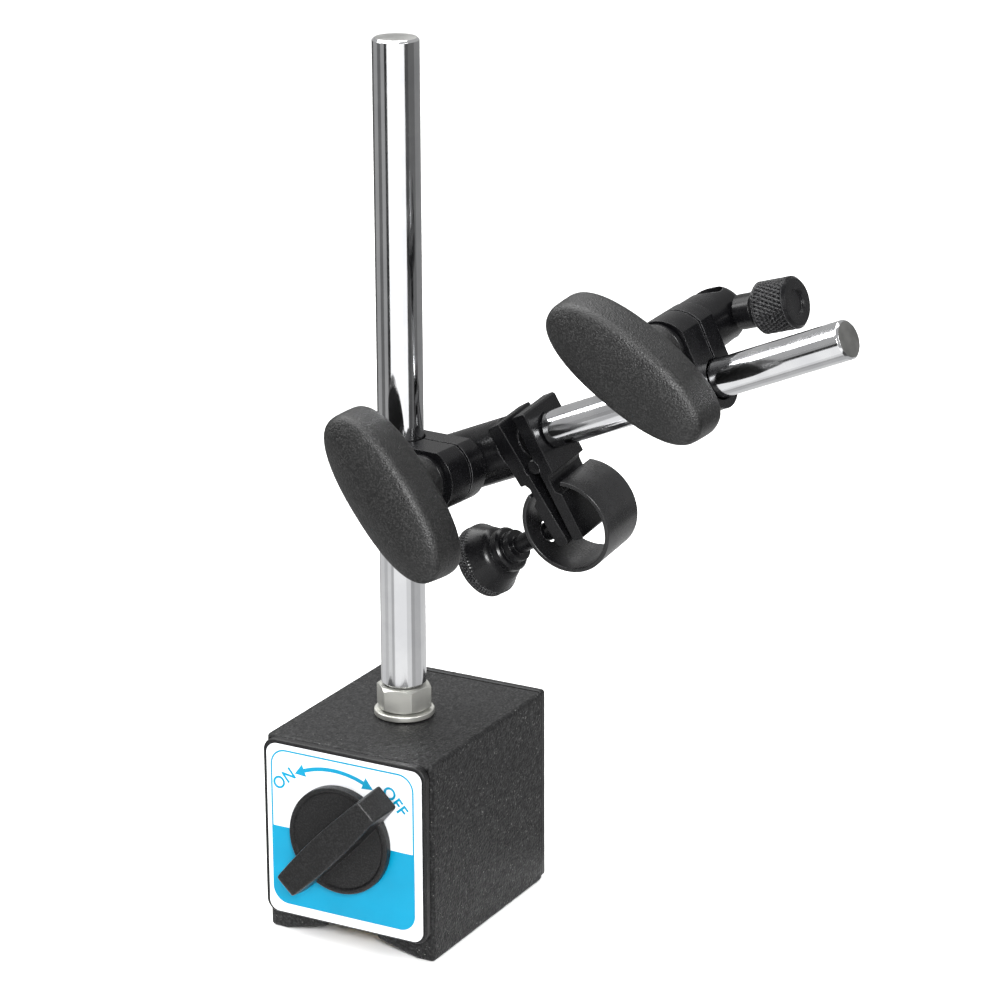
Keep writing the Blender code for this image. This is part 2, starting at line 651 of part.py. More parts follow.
def make_levers(finishes, levers, left, right, head_axis, rod_axis):
    half, finish = LEVER_WIDTH / 2, finishes["black_oxide"]
    seat = PIVOT_RADIUS + GAP
    groove = rod("pivot_groove", seat, -LEVER_WIDTH, LEVER_WIDTH, None, levers, "Y", SMALL_SEGMENTS)
    end = PIVOT_LENGTH / 2
    rod("pivot_pin", PIVOT_RADIUS, -end, end, finishes["steel"], levers, "Y", SMALL_SEGMENTS, GAP)
    outline = lever_profile(LEFT_LEVER_INNER, LEFT_LEVER_OUTER, -1)
    lever = prism("left_lever", outline, -half, half, finish, left, "Y")
    spigot, reach = HEAD_SPIGOT_RADIUS + GAP, PIVOT_REACH + LEVER_WIDTH
    cut(lever, groove, rod("left_lever_hole", spigot, 0, reach, None, head_axis, "X", SMALL_SEGMENTS))
    screw_hole = rod("screw_hole", SCREW_RADIUS + GAP, -LEVER_WIDTH, 0, None, left, "X", SMALL_SEGMENTS)
    screw_hole.location = (0, 0, -SCREW_DROP)
    cut(lever, screw_hole)
    outline = lever_profile(RIGHT_LEVER_INNER, RIGHT_LEVER_OUTER, 1)
    lever = prism("right_lever", outline, -half, half, finish, right, "Y")
    spigot, reach = ROD_SPIGOT_RADIUS + GAP, LEVER_WIDTH
    cut(lever, groove, rod("right_lever_hole", spigot, -reach, reach, None, rod_axis, "X", SMALL_SEGMENTS))


def make_ring(finishes, levers, left):
    """The open band spring. Its two ends hook into the levers' outer notches."""
    lean = (LEFT_LEVER_TILT + RIGHT_LEVER_TILT) / 2
    ring_frame = frame("ring_frame", levers, (0, 0, 0), (0, -lean, 0))
    middle = RING_RADIUS - RING_WALL / 2
    gap_half = asin(RING_END_OFFSET / middle)
    start, end = gap_half, 2 * pi - gap_half
    outer = arc((0, 0), RING_RADIUS, start, end, RING_STEPS)
    inner = arc((0, 0), RING_RADIUS - RING_WALL, end, start, RING_STEPS)
    half = LEVER_WIDTH / 2
    ring = prism("spring_ring", outer + inner, -half, half, finishes["spring_steel"], ring_frame, "Y")
    ring.location = (RING_SHIFT, 0, -RING_DROP)
    low, high = -2 * RING_RADIUS, -RING_RADIUS / 2
    hole = rod("ring_hole", SCREW_RADIUS + 2 * GAP, low, high, None, left, "X", SMALL_SEGMENTS)
    hole.location = (0, 0, -SCREW_DROP)
    cut(ring, hole)


def make_fine_screw(finishes, left):
    """The knurled screw that runs through the ring and the left leg and pushes on the right leg."""
    axis = frame("fine_screw_axis", left, (0, 0, -SCREW_DROP))
    tip = RIGHT_LEVER_INNER - SCREW_TIP_GAP - SCREW_DROP * sin(LEFT_LEVER_TILT - RIGHT_LEVER_TILT)
    far = -SCREW_HEAD_REACH
    near = far + SCREW_HEAD_WIDTH
    rim, edge = SCREW_HEAD_RADIUS - SCREW_HEAD_EDGE, SCREW_HEAD_EDGE
    dish, floor = SCREW_DISH_RADIUS, far + SCREW_DISH_DEPTH
    profile = [(0, floor), (dish, floor), (dish + SCREW_DISH_DEPTH, far), (rim, far)]
    profile += [(SCREW_HEAD_RADIUS, far + edge), (SCREW_HEAD_RADIUS, near - edge), (rim, near)]
    cone_end = near + SCREW_CONE_LENGTH
    collar_end = cone_end + SCREW_COLLAR_LENGTH
    neck_end = collar_end + SCREW_NECK_LENGTH
    profile += [(SCREW_CONE_RADIUS, cone_end - edge), (SCREW_COLLAR_RADIUS, cone_end)]
    profile += [(SCREW_COLLAR_RADIUS, collar_end - edge), (SCREW_COLLAR_RADIUS - edge, collar_end)]
    profile += [(SCREW_NECK_RADIUS, collar_end), (SCREW_NECK_RADIUS, neck_end), (SCREW_RADIUS, neck_end)]
    profile += [(SCREW_RADIUS, tip - edge), (SCREW_RADIUS - edge, tip), (0, tip)]
    lathe("fine_screw", profile, finishes["black_oxide"], axis, "X", KNURL_SEGMENTS)


def rod_stop(radius, face):
    """Where a flat end of this radius on the rod's axis clears a face of the tilted lever at every turn."""
    return (face - (PIVOT_DROP + ROD_RISE - radius) * sin(RIGHT_LEVER_TILT)) / cos(RIGHT_LEVER_TILT)


def make_arm_rod(finishes, rod_axis):
    """The rod's spigot turns in the right lever, and its shoulder stays clear of the lever at every turn."""
    start = rod_stop(ROD_SPIGOT_RADIUS, RIGHT_LEVER_INNER)
    shoulder = rod_stop(ROD_RADIUS, RIGHT_LEVER_OUTER + GAP)
    end = ROD_END - PIVOT_REACH
    rim = ROD_RADIUS - ROD_CHAMFER
    profile = [(0, start), (ROD_SPIGOT_RADIUS, start), (ROD_SPIGOT_RADIUS, shoulder), (ROD_RADIUS, shoulder)]
    profile += [(ROD_RADIUS, end - ROD_CHAMFER), (rim, end), (0, end)]
    lathe("arm_rod", profile, finishes["chrome"], rod_axis, "X")


# --- Stem head -------------------------------------------------------------------------------------


def make_stem_head(finishes, stud_axis):
    """The head that grips the gauge's stem. Its axis is the stud's, and it turns on the upper clamp."""
    front = CLAMP_WIDTH / 2 + GAP
    back = front + STEM_HEAD_LENGTH
    round_start = back - STEM_HEAD_ROUND
    edge = STEM_HEAD_EDGE
    profile = [(0, front), (STEM_HEAD_RADIUS - edge, front), (STEM_HEAD_RADIUS, front + edge)]
    profile += arc((STEM_HEAD_RADIUS - STEM_HEAD_ROUND, round_start), STEM_HEAD_ROUND, 0, pi / 2)
    profile.append((0, back))
    head = lathe("stem_head", profile, finishes["black_oxide"], stud_axis, "Y")
    stud_stop = STEM_HOLE_PLACE - STEM_HOLE_RADIUS - STEM_HOLE_WALL
    hole = STUD_RADIUS + GAP
    cut(head, rod("stem_stud_hole", hole, 0, stud_stop + GAP, None, stud_axis, "Y", SMALL_SEGMENTS))
    rod("upper_stud", STUD_RADIUS, stud_end(), stud_stop, finishes["steel"], stud_axis, "Y", SMALL_SEGMENTS)
    screw_axis = frame("stem_screw_axis", stud_axis, (0, STEM_HOLE_PLACE, 0), (0, STEM_SCREW_TURN, 0))
    side = STEM_HEAD_RADIUS
    flare = STEM_HOLE_RADIUS + STEM_HOLE_CHAMFER + OVERCUT
    lip = side - STEM_HOLE_CHAMFER
    profile = [(0, -side - OVERCUT), (flare, -side - OVERCUT), (STEM_HOLE_RADIUS, -lip)]
    profile += [(STEM_HOLE_RADIUS, lip), (flare, side + OVERCUT), (0, side + OVERCUT)]
    cut(head, lathe("stem_hole", profile, None, screw_axis))
    screw_hole = STEM_SCREW_RADIUS + GAP
    cut(head, rod("stem_screw_hole", screw_hole, 0, 2 * side, None, screw_axis, "X", SMALL_SEGMENTS))
    make_stem_screw(finishes, screw_axis)


def make_stem_screw(finishes, screw_axis):
    tip = STEM_HOLE_RADIUS
    seat = STEM_HEAD_RADIUS + GAP
    end = STEM_SCREW_REACH
    knurl = end - STEM_SCREW_HEAD_LENGTH
    head = STEM_SCREW_HEAD_RADIUS
    collar = STEM_SCREW_COLLAR_RADIUS
    neck = collar - STEM_HEAD_EDGE
    neck_start = knurl - STEM_SCREW_NECK_LENGTH
    edge = STEM_SCREW_RECESS_DEPTH
    recess = STEM_SCREW_RECESS_RADIUS
    profile = [(0, tip), (STEM_SCREW_RADIUS, tip), (STEM_SCREW_RADIUS, seat), (neck, seat)]
    profile += [(collar, seat + STEM_HEAD_EDGE), (collar, neck_start - STEM_HEAD_EDGE), (neck, neck_start)]
    profile += [(neck, knurl), (head - edge, knurl), (head, knurl + edge), (head, end - edge)]
    profile += [(head - edge, end), (recess, end), (recess - edge / 2, end - edge), (0, end - edge)]
    lathe("stem_screw", profile, finishes["black_oxide"], screw_axis, "X", KNURL_SEGMENTS)


# --- Assembly --------------------------------------------------------------------------------------


def make_arm(finishes, column_axis):
    clamp = frame("lower_clamp_frame", column_axis, (0, 0, LOWER_CLAMP_HEIGHT), (0, 0, LOWER_CLAMP_YAW))
    make_clamp("lower_clamp", COLUMN_RADIUS, LOWER_STUD_REACH, CLAMP_EAR_MARGIN, finishes, clamp)
    stud = frame("lower_stud_axis", clamp, (LOWER_STUD_REACH, 0, 0))
    make_clamp_washer("lower_washer", finishes, stud)
    make_wing_knob("lower", LOWER_WING_ANGLE, finishes, stud)
    swivel = frame("arm_tilt_axis", stud, (0, 0, 0), (0, -ARM_TILT, 0))
    seat = CLAMP_WIDTH / 2 + GAP + HEAD_RADIUS
    drop = Vector((PIVOT_REACH, seat + PIVOT_DROP * sin(FINE_ROLL), -PIVOT_DROP * cos(FINE_ROLL)))
    levers = frame("fine_tilt_axis", swivel, drop, (FINE_ROLL, 0, 0))
    left = frame("left_lever_frame", levers, (0, 0, 0), (0, -LEFT_LEVER_TILT, 0))
    right = frame("right_lever_frame", levers, (0, 0, 0), (0, -RIGHT_LEVER_TILT, 0))
    rod_axis = frame("arm_rod_axis", levers, (0, 0, PIVOT_DROP + ROD_RISE))
    head_axis = make_head(finishes, swivel, left)
    make_levers(finishes, levers, left, right, head_axis, rod_axis)
    make_ring(finishes, levers, left)
    make_fine_screw(finishes, left)
    make_arm_rod(finishes, rod_axis)
    place = (UPPER_CLAMP_PLACE - PIVOT_REACH, 0, 0)
    upper = frame("upper_clamp_frame", rod_axis, place, (UPPER_ROLL - FINE_ROLL, 0, 0))
    block = frame("upper_block_frame", upper, (0, 0, 0), (0, -pi / 2, 0))
    make_clamp("upper_clamp", ROD_RADIUS, UPPER_STUD_REACH, UPPER_EAR_MARGIN, finishes, block)
    stud = frame("upper_stud_axis", upper, (0, 0, UPPER_STUD_REACH))
    make_clamp_washer("upper_washer", finishes, stud)
    make_wing_knob("upper", UPPER_WING_ANGLE, finishes, stud)
    make_stem_head(finishes, stud)


def centre_over_origin(root):
    """Moves the whole model in X and Y so that its bounding box is centred over the origin."""
    bpy.context.view_layer.update()
    graph = bpy.context.evaluated_depsgraph_get()
    points = []
    for obj in bpy.context.scene.objects:
        if obj.type == "MESH" and not obj.hide_render:
            solid = obj.evaluated_get(graph)
            points += [solid.matrix_world @ vertex.co for vertex in solid.data.vertices]
    middle = [(min(p[i] for p in points) + max(p[i] for p in points)) / 2 for i in range(2)]
    root.location = (-middle[0], -middle[1], 0)
    bpy.context.view_layer.update()


def main():
    for obj in list(bpy.data.objects):
        bpy.data.objects.remove(obj)
    finishes = make_finishes()
    root = frame("stand", None, (0, 0, 0))
    make_base(finishes, root)
    make_switch(finishes, root)
    make_arm(finishes, make_column(finishes, root))
    centre_over_origin(root)


main()
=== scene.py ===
"""Looks of the magnetic base stand: fine meshes, materials, floor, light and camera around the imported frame.

Metres, +Z up. Each piece is modelled in the frame of the CAD part it stands for, whose origin and axes
come from the record's joints and whose sizes come from the CAD nodes.
"""

import json
from math import asin, atan2, ceil, copysign, cos, hypot, pi, radians, sin, sqrt, tan

import bmesh
import bpy
from mathutils import Matrix, Vector


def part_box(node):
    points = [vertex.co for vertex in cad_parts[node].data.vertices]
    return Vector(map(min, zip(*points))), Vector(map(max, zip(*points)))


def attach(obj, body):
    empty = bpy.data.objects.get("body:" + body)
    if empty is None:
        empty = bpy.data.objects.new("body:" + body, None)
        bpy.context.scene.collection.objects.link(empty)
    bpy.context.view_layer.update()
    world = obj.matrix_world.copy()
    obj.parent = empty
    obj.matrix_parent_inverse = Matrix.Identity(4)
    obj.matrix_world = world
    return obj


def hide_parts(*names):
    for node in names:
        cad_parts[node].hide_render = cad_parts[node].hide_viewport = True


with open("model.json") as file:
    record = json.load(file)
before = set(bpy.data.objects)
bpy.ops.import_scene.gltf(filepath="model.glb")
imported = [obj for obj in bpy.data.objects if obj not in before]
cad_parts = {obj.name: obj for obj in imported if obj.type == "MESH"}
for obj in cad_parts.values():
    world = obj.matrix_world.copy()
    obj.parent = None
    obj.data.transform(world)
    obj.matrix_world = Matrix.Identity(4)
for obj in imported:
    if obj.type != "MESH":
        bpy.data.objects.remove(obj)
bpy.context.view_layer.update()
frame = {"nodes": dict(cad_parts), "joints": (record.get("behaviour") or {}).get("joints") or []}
JOINTS = {joint["name"]: joint for joint in frame["joints"]}

# Camera, set up from the photograph: the direction it looks from and what it looks at, above the base
CAMERA_AZIMUTH = radians(28.81)
CAMERA_ELEVATION = radians(18.11)
CAMERA_ROLL = radians(-0.235)
CAMERA_DISTANCE = 0.9217
CAMERA_AIM_HEIGHT = 0.100
CAMERA_AIM_RIGHT = 0.02502
CAMERA_AIM_UP = 0.01347
CAMERA_LENS = 127.0
CAMERA_SENSOR = 36.0
CAMERA_CLIP = (0.01, 50)

# Holes, and the shafts, spigots and threads that run in them
CLEARANCE = 0.0003
STUD_BORE = 0.0043
SCREW_RADIUS = 0.0025
SCREW_BORE = 0.0028
RING_BORE = 0.0031
PIN_BORE = 0.0023
SWIVEL_SPIGOT = 0.0045
ROD_SPIGOT = 0.0035
COLUMN_SPIGOT = 0.004
STEM_BORE = 0.004

# Magnet block and covers
BLOCK_EDGE = 0.0012
COVER_CORNER = 0.0035
COVER_EDGE = 0.0004
COVER_LIFT = 0.0004
REAR_CORNER = 0.0012
GROOVE_WIDTH = 0.040
GROOVE_DEPTH = 0.0031
SLOT_WIDTH = 0.0152
SLOT_TOP_WIDTH = 0.0132
SLOT_DEPTH = 0.008
STRIP_GAP = 0.0004
STRIP_SINK = 0.0002
STRIP_THICK = 0.0006
COVER_THREAD = 0.0015
CROSS_REACH = 0.62
CROSS_ARM = 0.13
CROSS_DEPTH = 0.5

# Printing on the label, in the label's own frame: right and up from its middle
PRINT_THICK = 0.00006
FIELD_RISE = 0.00001
FILM_TRIM = 0.0003
FILM_TRIM_LEFT = 0.0009
FILM_CORNER = 0.0028
OUTLINE_INSET_LEFT = 0.0021
OUTLINE_INSET_RIGHT = 0.0024
OUTLINE_INSET_TOP = 0.0015
OUTLINE_INSET_BOTTOM = 0.0029
OUTLINE_CORNER = 0.0046
OUTLINE_WIDTH = 0.00048
FIELD_SHARE = 0.50
ARROW_RADIUS = 0.0244
ARROW_CENTER = (-0.0025, -0.0049)
ARROW_SPREAD = radians(29)
ARROW_WIDTH = 0.0011
ARROW_HEAD_LENGTH = 0.0032
ARROW_HEAD_WIDTH = 0.0035
ARROW_STEPS = 40
TEXT_HEIGHT = 0.0033
TEXT_SIZE_SHARE = 1.42
TEXT_SPACING = 1.06
TEXT_WEIGHT_SHARE = 0.03
ON_PLACE = (-0.0176, 0.0142)
ON_TURN = radians(40)
OFF_PLACE = (0.0157, 0.0146)
OFF_TURN = radians(-48)

# Switch knob
KNOB_ANGLE = radians(44)
KNOB_DISC_THICK = 0.0025
KNOB_RIM = 0.0012
KNOB_RECESS = 0.0005
KNOB_EDGE = 0.0006
KNOB_BAR_SINK = 0.0006
KNOB_BAR_TOP_SHARE = 0.855
KNOB_BAR_WIDTH = 0.0083
KNOB_BAR_END_WIDTH = 0.0064
KNOB_BAR_DRAFT = 0.0004
KNOB_BAR_STEPS = 20
HANDLE_ANGLE = radians(30)

# Column, nut and rod
COLUMN_CHAMFER = 0.0006
ROD_CHAMFER = 0.0005
NUT_FLATS = 0.013
NUT_TURN = radians(15)
NUT_RIM_SHARE = 0.97
NUT_CHAMFER_SLOPE = radians(30)
NUT_MOUTH = 0.0050
NUT_MOUTH_DEPTH = 0.0005

# Clamps, swivel head, levers and ring
EAR_RADIUS = 0.009
EAR_STEPS = 36
BACK_STEPS = 40
CLAMP_EDGE = 0.00035
CLAMP_SLIT = 0.0008
CLAMP_SLIT_OFFSET = 0.00105
HEAD_ROUND = 0.0008
HEAD_EDGE = 0.00018
LEVER_CORNER = 0.0006
LEVER_ROUND = 0.0005
LEVER_TILT = radians(-2.5)
NOTCH_TOP = 0.0031
NOTCH_DEPTH = 0.0021
NOTCH_BOTTOM = 0.0078
LEFT_LEVER_INNER = 0.0019
RIGHT_LEVER_INNER = 0.0016
RING_TILT = radians(-5.1)
RING_WALL = 0.0012
RING_HALF_GAP = 0.0052
RING_STEPS = 120
PLATE_EDGE = 0.0003
PLATE_ANGLE = radians(60)
STEM_DOME = 0.0045
STEM_CHAMFER = 0.0006
DOME_TRIM = 0.00004
DOME_STEPS = 24

# Wing knobs: each section's inset as a share of half the width, and its depth as a share of the thickness
WING_SECTIONS = ((0.12, 0.0), (0.03, 0.06), (0.0, 0.22), (0.025, 0.66), (0.05, 0.77), (0.10, 0.835),
                 (0.17, 0.875), (0.28, 0.91), (0.45, 0.95), (0.65, 0.982), (0.84, 1.0))
WING_SQUARENESS = 2.3
LOWER_WING_ANGLE = radians(51)
UPPER_WING_ANGLE = radians(56)
HUB_LENGTH = 0.0062
HUB_RADIUS = 0.0075
HUB_FILLET = 0.0006
HUB_FLARE = 1.06
SECTION_STEPS = 3

# Knurled screws: (radius, distance) points of their turned profiles
FINE_RIM = 0.0042
FINE_DISH = 0.0042
SCREW_EDGE = 0.0006
FINE_CONE = ((0.0074, 0.0032), (0.0070, 0.0038), (0.0063, 0.0044), (0.0056, 0.0047), (0.0056, 0.0050),
             (0.0060, 0.0053), (0.0060, 0.0070), (0.0054, 0.0076), (0.0043, 0.0076), (0.0043, 0.0100),
             (0.0025, 0.0100))
STEM_HEAD_LENGTH = 0.0105
STEM_HEAD_EDGE = 0.0008
STEM_COLLAR = 0.0045
STEM_NECK = 0.0041
STEM_GROOVE = 0.0010
STEM_RECESS = 0.0031
KNURL_DEPTH = 0.0004
FINE_KNURL_TEETH = 64
STEM_KNURL_TEETH = 36
KNURL_STEPS = 6
KNURL_FADE_ROWS = 3
KNURL_TOP_SHARE = 1.5

# Studio: (start turn, end turn, near shade, far shade) of the painted reflections round the column, which only
# reflections see. The turns are from the camera's direction, the shades stand in for a white table and the
# room beyond it.
REFLECTED = ((-180, -135, 0.62, 0.12), (-135, -100, 0.80, 0.40), (-100, -78, 0.66, 0.17),
             (-78, -57, 0.86, 0.42), (-57, -43, 0.60, 0.04), (-43, 20, 1.15, 1.6), (20, 43, 0.92, 1.5),
             (43, 62, 0.50, 0.10), (62, 100, 0.60, 0.17), (100, 180, 0.78, 0.28))
REFLECTED_STEPS = 8
REFLECTED_HEIGHT = 0.0004
TABLE_START = 0.05
TABLE_REACH = 0.37
FLOOR_REACH = 6.0
FLOOR_SHADE = 0.88
WORLD_STRENGTH = 0.5
FRONT_LIGHT_TURN = CAMERA_AZIMUTH + radians(6)
# Each light's place from the middle of the base, the height it aims at, its size and its power
LIGHTS = (("overhead", (-0.35, 0.15, 1.3), 0, (1.4, 1.4), 34),
          ("left", (-1.1, -0.5, 0.9), 0.12, (0.5, 0.5), 9),
          ("right", (1.2, -0.1, 0.8), 0.12, (0.4, 0.6), 5),
          ("front", (sin(FRONT_LIGHT_TURN), -cos(FRONT_LIGHT_TURN), 0.62), 0.12, (0.34, 0.34), 17))

SEGMENTS = 96
FINE_SEGMENTS = 128
SMALL_SEGMENTS = 48
ROUND_STEPS = 4
LEAST_TURN = radians(18)
CORNER_SHARE = 0.45
SOFT = 0.0002
EDGE = 0.0004
HOLE_REACH = 0.02
FAR = 0.05
END_REACH = 2e-5
TINY = 1e-7
SHARP_ANGLE = radians(50)
BEVEL_ANGLE = radians(24)
OVERCUT = 0.002


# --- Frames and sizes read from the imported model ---


def frame_of(origin, x, y, z):
    matrix = Matrix((x, y, z)).transposed().to_4x4()
    matrix.translation = origin
    return matrix


def swung(origin, along, across):
    """A frame with X along one direction, Y across it and Z square to both."""
    return frame_of(origin, along, across, along.cross(across))


def joint_point(name):
    return Vector(JOINTS[name]["pos_m"])


def joint_axis(name):
    return Vector(JOINTS[name]["axis"]).normalized()


def make_frames():
    """Each joint's own frame, with the axes that the CAD model uses for the parts it carries."""
    up = Vector((0, 0, 1))
    middle = (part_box("pole_left")[0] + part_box("pole_right")[1]) / 2
    column, tilt, pivot = (joint_point(name) for name in ("column_turn", "arm_tilt", "fine_tilt"))
    rod, head = joint_point("arm_rod_turn"), joint_point("stem_head_turn")
    stud, pin, upper_pin = (-joint_axis(name) for name in ("arm_tilt", "fine_tilt", "stem_head_turn"))
    along, left_along = joint_axis("arm_rod_turn"), joint_axis("fine_screw_turn")
    across = along.cross(upper_pin)
    rod_point = head - (head - rod).dot(across) * across
    return {"base": Matrix.Translation((middle.x, middle.y, 0)),
            "column": Matrix.Translation(column),
            "switch": Matrix.Translation(joint_point("switch_turn")),
            "lower_clamp": frame_of(Vector((column.x, column.y, tilt.z)), stud.cross(up), stud, up),
            "lower_stud": frame_of(tilt, stud.cross(up), stud, up),
            "swivel": swung(tilt, along, stud),
            "levers": swung(pivot, along, pin),
            "left": swung(pivot, left_along, pin),
            "screw": swung(joint_point("fine_screw_turn"), left_along, pin),
            "rod": swung(rod, along, pin),
            "upper_stud": swung(head, along, upper_pin),
            "upper_clamp": frame_of(rod_point, across, upper_pin, -along),
            "stem": swung(joint_point("stem_screw_turn"), joint_axis("stem_screw_turn"), upper_pin)}


def span(node, local):
    """The lowest and highest corners of a CAD node in a frame."""
    inverse = local.inverted()
    points = [inverse @ vertex.co for vertex in frame["nodes"][node].data.vertices]
    low = Vector([min(point[i] for point in points) for i in range(3)])
    high = Vector([max(point[i] for point in points) for i in range(3)])
    return low, high


# --- Mesh building ---


def turned(axis, height, across, up):
    """A point at this height along the axis, with its two other coordinates in right-handed order."""
    if axis == "X":
        return Vector((height, across, up))
    if axis == "Y":
        return Vector((up, height, across))
    return Vector((across, up, height))


def soften(points, radius, closed=False, steps=ROUND_STEPS):
    """Rounds the corners of an outline of (x, y) points, as far as its straight stretches allow."""
    rounded_points = []
    count = len(points)
    for i, point in enumerate(points):
        corner = Vector(point)
        if not closed and i in (0, count - 1):
            rounded_points.append(corner)
            continue
        back = Vector(points[i - 1]) - corner
        ahead = Vector(points[(i + 1) % count]) - corner
        turn = pi - back.angle(ahead)
        if turn < LEAST_TURN:
            rounded_points.append(corner)
            continue
        reach = min(radius * tan(turn / 2), CORNER_SHARE * back.length, CORNER_SHARE * ahead.length)
        start, end = corner + back.normalized() * reach, corner + ahead.normalized() * reach
        for step in range(steps + 1):
            share = step / steps
            first, second = start.lerp(corner, share), corner.lerp(end, share)
            rounded_points.append(first.lerp(second, share))
    return rounded_points


def skinned(rings, looped=False):
    """A closed shape from a stack of rings. A ring of one point is a pole."""
    bm = bmesh.new()
    stack = [[bm.verts.new(point) for point in ring] for ring in rings]
    pairs = list(zip(stack, stack[1:]))
    if looped:
        pairs.append((stack[-1], stack[0]))
    for low, high in pairs:
        count = max(len(low), len(high))
        for i in range(count):
            j = (i + 1) % count
            corners = [low[i % len(low)], low[j % len(low)], high[j % len(high)], high[i % len(high)]]
            bm.faces.new(list(dict.fromkeys(corners)))
    bmesh.ops.recalc_face_normals(bm, faces=bm.faces)
    return bm


def circle(radius, height, axis, segments):
    if radius < TINY:
        return [turned(axis, height, 0, 0)]
    turns = [2 * pi * i / segments for i in range(segments)]
    return [turned(axis, height, radius * cos(turn), radius * sin(turn)) for turn in turns]


def lathe(profile, axis="Z", segments=SEGMENTS, looped=False):
    """Turns a profile of (radius, height) points round the axis."""
    return skinned([circle(radius, height, axis, segments) for radius, height in profile], looped)


def rod_between(radius, low, high, axis="Z", segments=SMALL_SEGMENTS):
    return lathe([(0, low), (radius, low), (radius, high), (0, high)], axis, segments)


def prism(outline, low, high, axis="Z"):
    """Extrudes an outline of (across, up) points along the axis."""
    bm = bmesh.new()
    ends = [[bm.verts.new(turned(axis, end, *point)) for point in outline] for end in (low, high)]
    bm.faces.new(ends[0])
    bm.faces.new(ends[1])
    count = len(outline)
    for i in range(count):
        j = (i + 1) % count
        bm.faces.new([ends[0][i], ends[0][j], ends[1][j], ends[1][i]])
    bmesh.ops.recalc_face_normals(bm, faces=bm.faces)
    return bm


def slab(outline, low, high):
    """Extrudes an outline of (x, z) points along Y."""
    return prism([(z, x) for x, z in outline], low, high, "Y")


def block_between(low, high):
    outline = [(low[0], low[1]), (high[0], low[1]), (high[0], high[1]), (low[0], high[1])]
    return prism(outline, low[2], high[2])


def moved(bm, matrix):
    bmesh.ops.transform(bm, verts=bm.verts, matrix=matrix)
    return bm


def shifted(bm, x, y, z):
    return moved(bm, Matrix.Translation((x, y, z)))


def arc(center, radius, start, end, steps=16):
    turns = [start + (end - start) * i / steps for i in range(steps + 1)]
    return [(center[0] + radius * cos(turn), center[1] + radius * sin(turn)) for turn in turns]


def rounded_rectangle(low, high, radius, steps=12):
    corners = [(high[0], high[1]), (low[0], high[1]), (low[0], low[1]), (high[0], low[1])]
    outline = []
    for quarter, (x, y) in enumerate(corners):
        inward = copysign(radius, x - (low[0] + high[0]) / 2), copysign(radius, y - (low[1] + high[1]) / 2)
        center = (x - inward[0], y - inward[1])
        outline += arc(center, radius, quarter * pi / 2, (quarter + 1) * pi / 2, steps)
    return outline


def linked(name, data):
    obj = bpy.data.objects.new(name, data)
    bpy.context.scene.collection.objects.link(obj)
    return obj


def raw_object(name, bm):
    data = bpy.data.meshes.new(name)
    bm.to_mesh(data)
    bm.free()
    return linked(name, data)


def final_mesh(obj):
    """The object's mesh with its modifiers applied."""
    bpy.context.view_layer.update()
    return bpy.data.meshes.new_from_object(obj.evaluated_get(bpy.context.evaluated_depsgraph_get()))


def taken(obj):
    """The final shape of a working object. The object goes."""
    bm = bmesh.new()
    bm.from_mesh(final_mesh(obj))
    bpy.data.objects.remove(obj)
    return bm


def combine(body, operation, *tools):
    """Joins, cuts or trims a shape with others."""
    target = raw_object("work", body)
    helpers = [raw_object("tool", tool) for tool in tools]
    for helper in helpers:
        step = target.modifiers.new("combine", "BOOLEAN")
        step.operation = operation
        step.solver = "EXACT"
        step.object = helper
    bm = taken(target)
    for helper in helpers:
        bpy.data.objects.remove(helper)
    return bm


def cut(body, *tools):
    return combine(body, "DIFFERENCE", *tools)


def add_bevel(obj, width, steps, angle):
    bevel = obj.modifiers.new("edges", "BEVEL")
    bevel.width = width
    bevel.segments = steps
    bevel.limit_method = "ANGLE"
    bevel.angle_limit = angle


def bevelled(bm, width, steps=3, angle=SHARP_ANGLE):
    """Rounds the edges of a shape sharper than this angle."""
    obj = raw_object("work", bm)
    add_bevel(obj, width, steps, angle)
    return taken(obj)


def piece(name, bm, local, finish, body, nodes=(), edge=0.0):
    """Puts a shape in the scene in its frame, rounds its edges, ties it to its body and hides the CAD nodes it
    stands for.
    """
    obj = raw_object(name, bm)
    if edge:
        add_bevel(obj, edge, 2, BEVEL_ANGLE)
    obj.data.shade_smooth()
    obj.data.set_sharp_from_angle(angle=SHARP_ANGLE)
    normals = obj.modifiers.new("normals", "WEIGHTED_NORMAL")
    normals.keep_sharp = True
    made = final_mesh(obj)
    obj.modifiers.clear()
    obj.data = made
    obj.data.materials.clear()
    obj.data.materials.append(FINISHES[finish])
    obj.data.transform(local)
    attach(obj, body)
    if nodes:
        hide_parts(*nodes)
    return obj


def fine_piece(node, bm, local, finish, body, edge=0.0):
    """The fine version of one CAD node."""
    return piece(node + "_fine", bm, local, finish, body, [node], edge)


# --- Materials ---


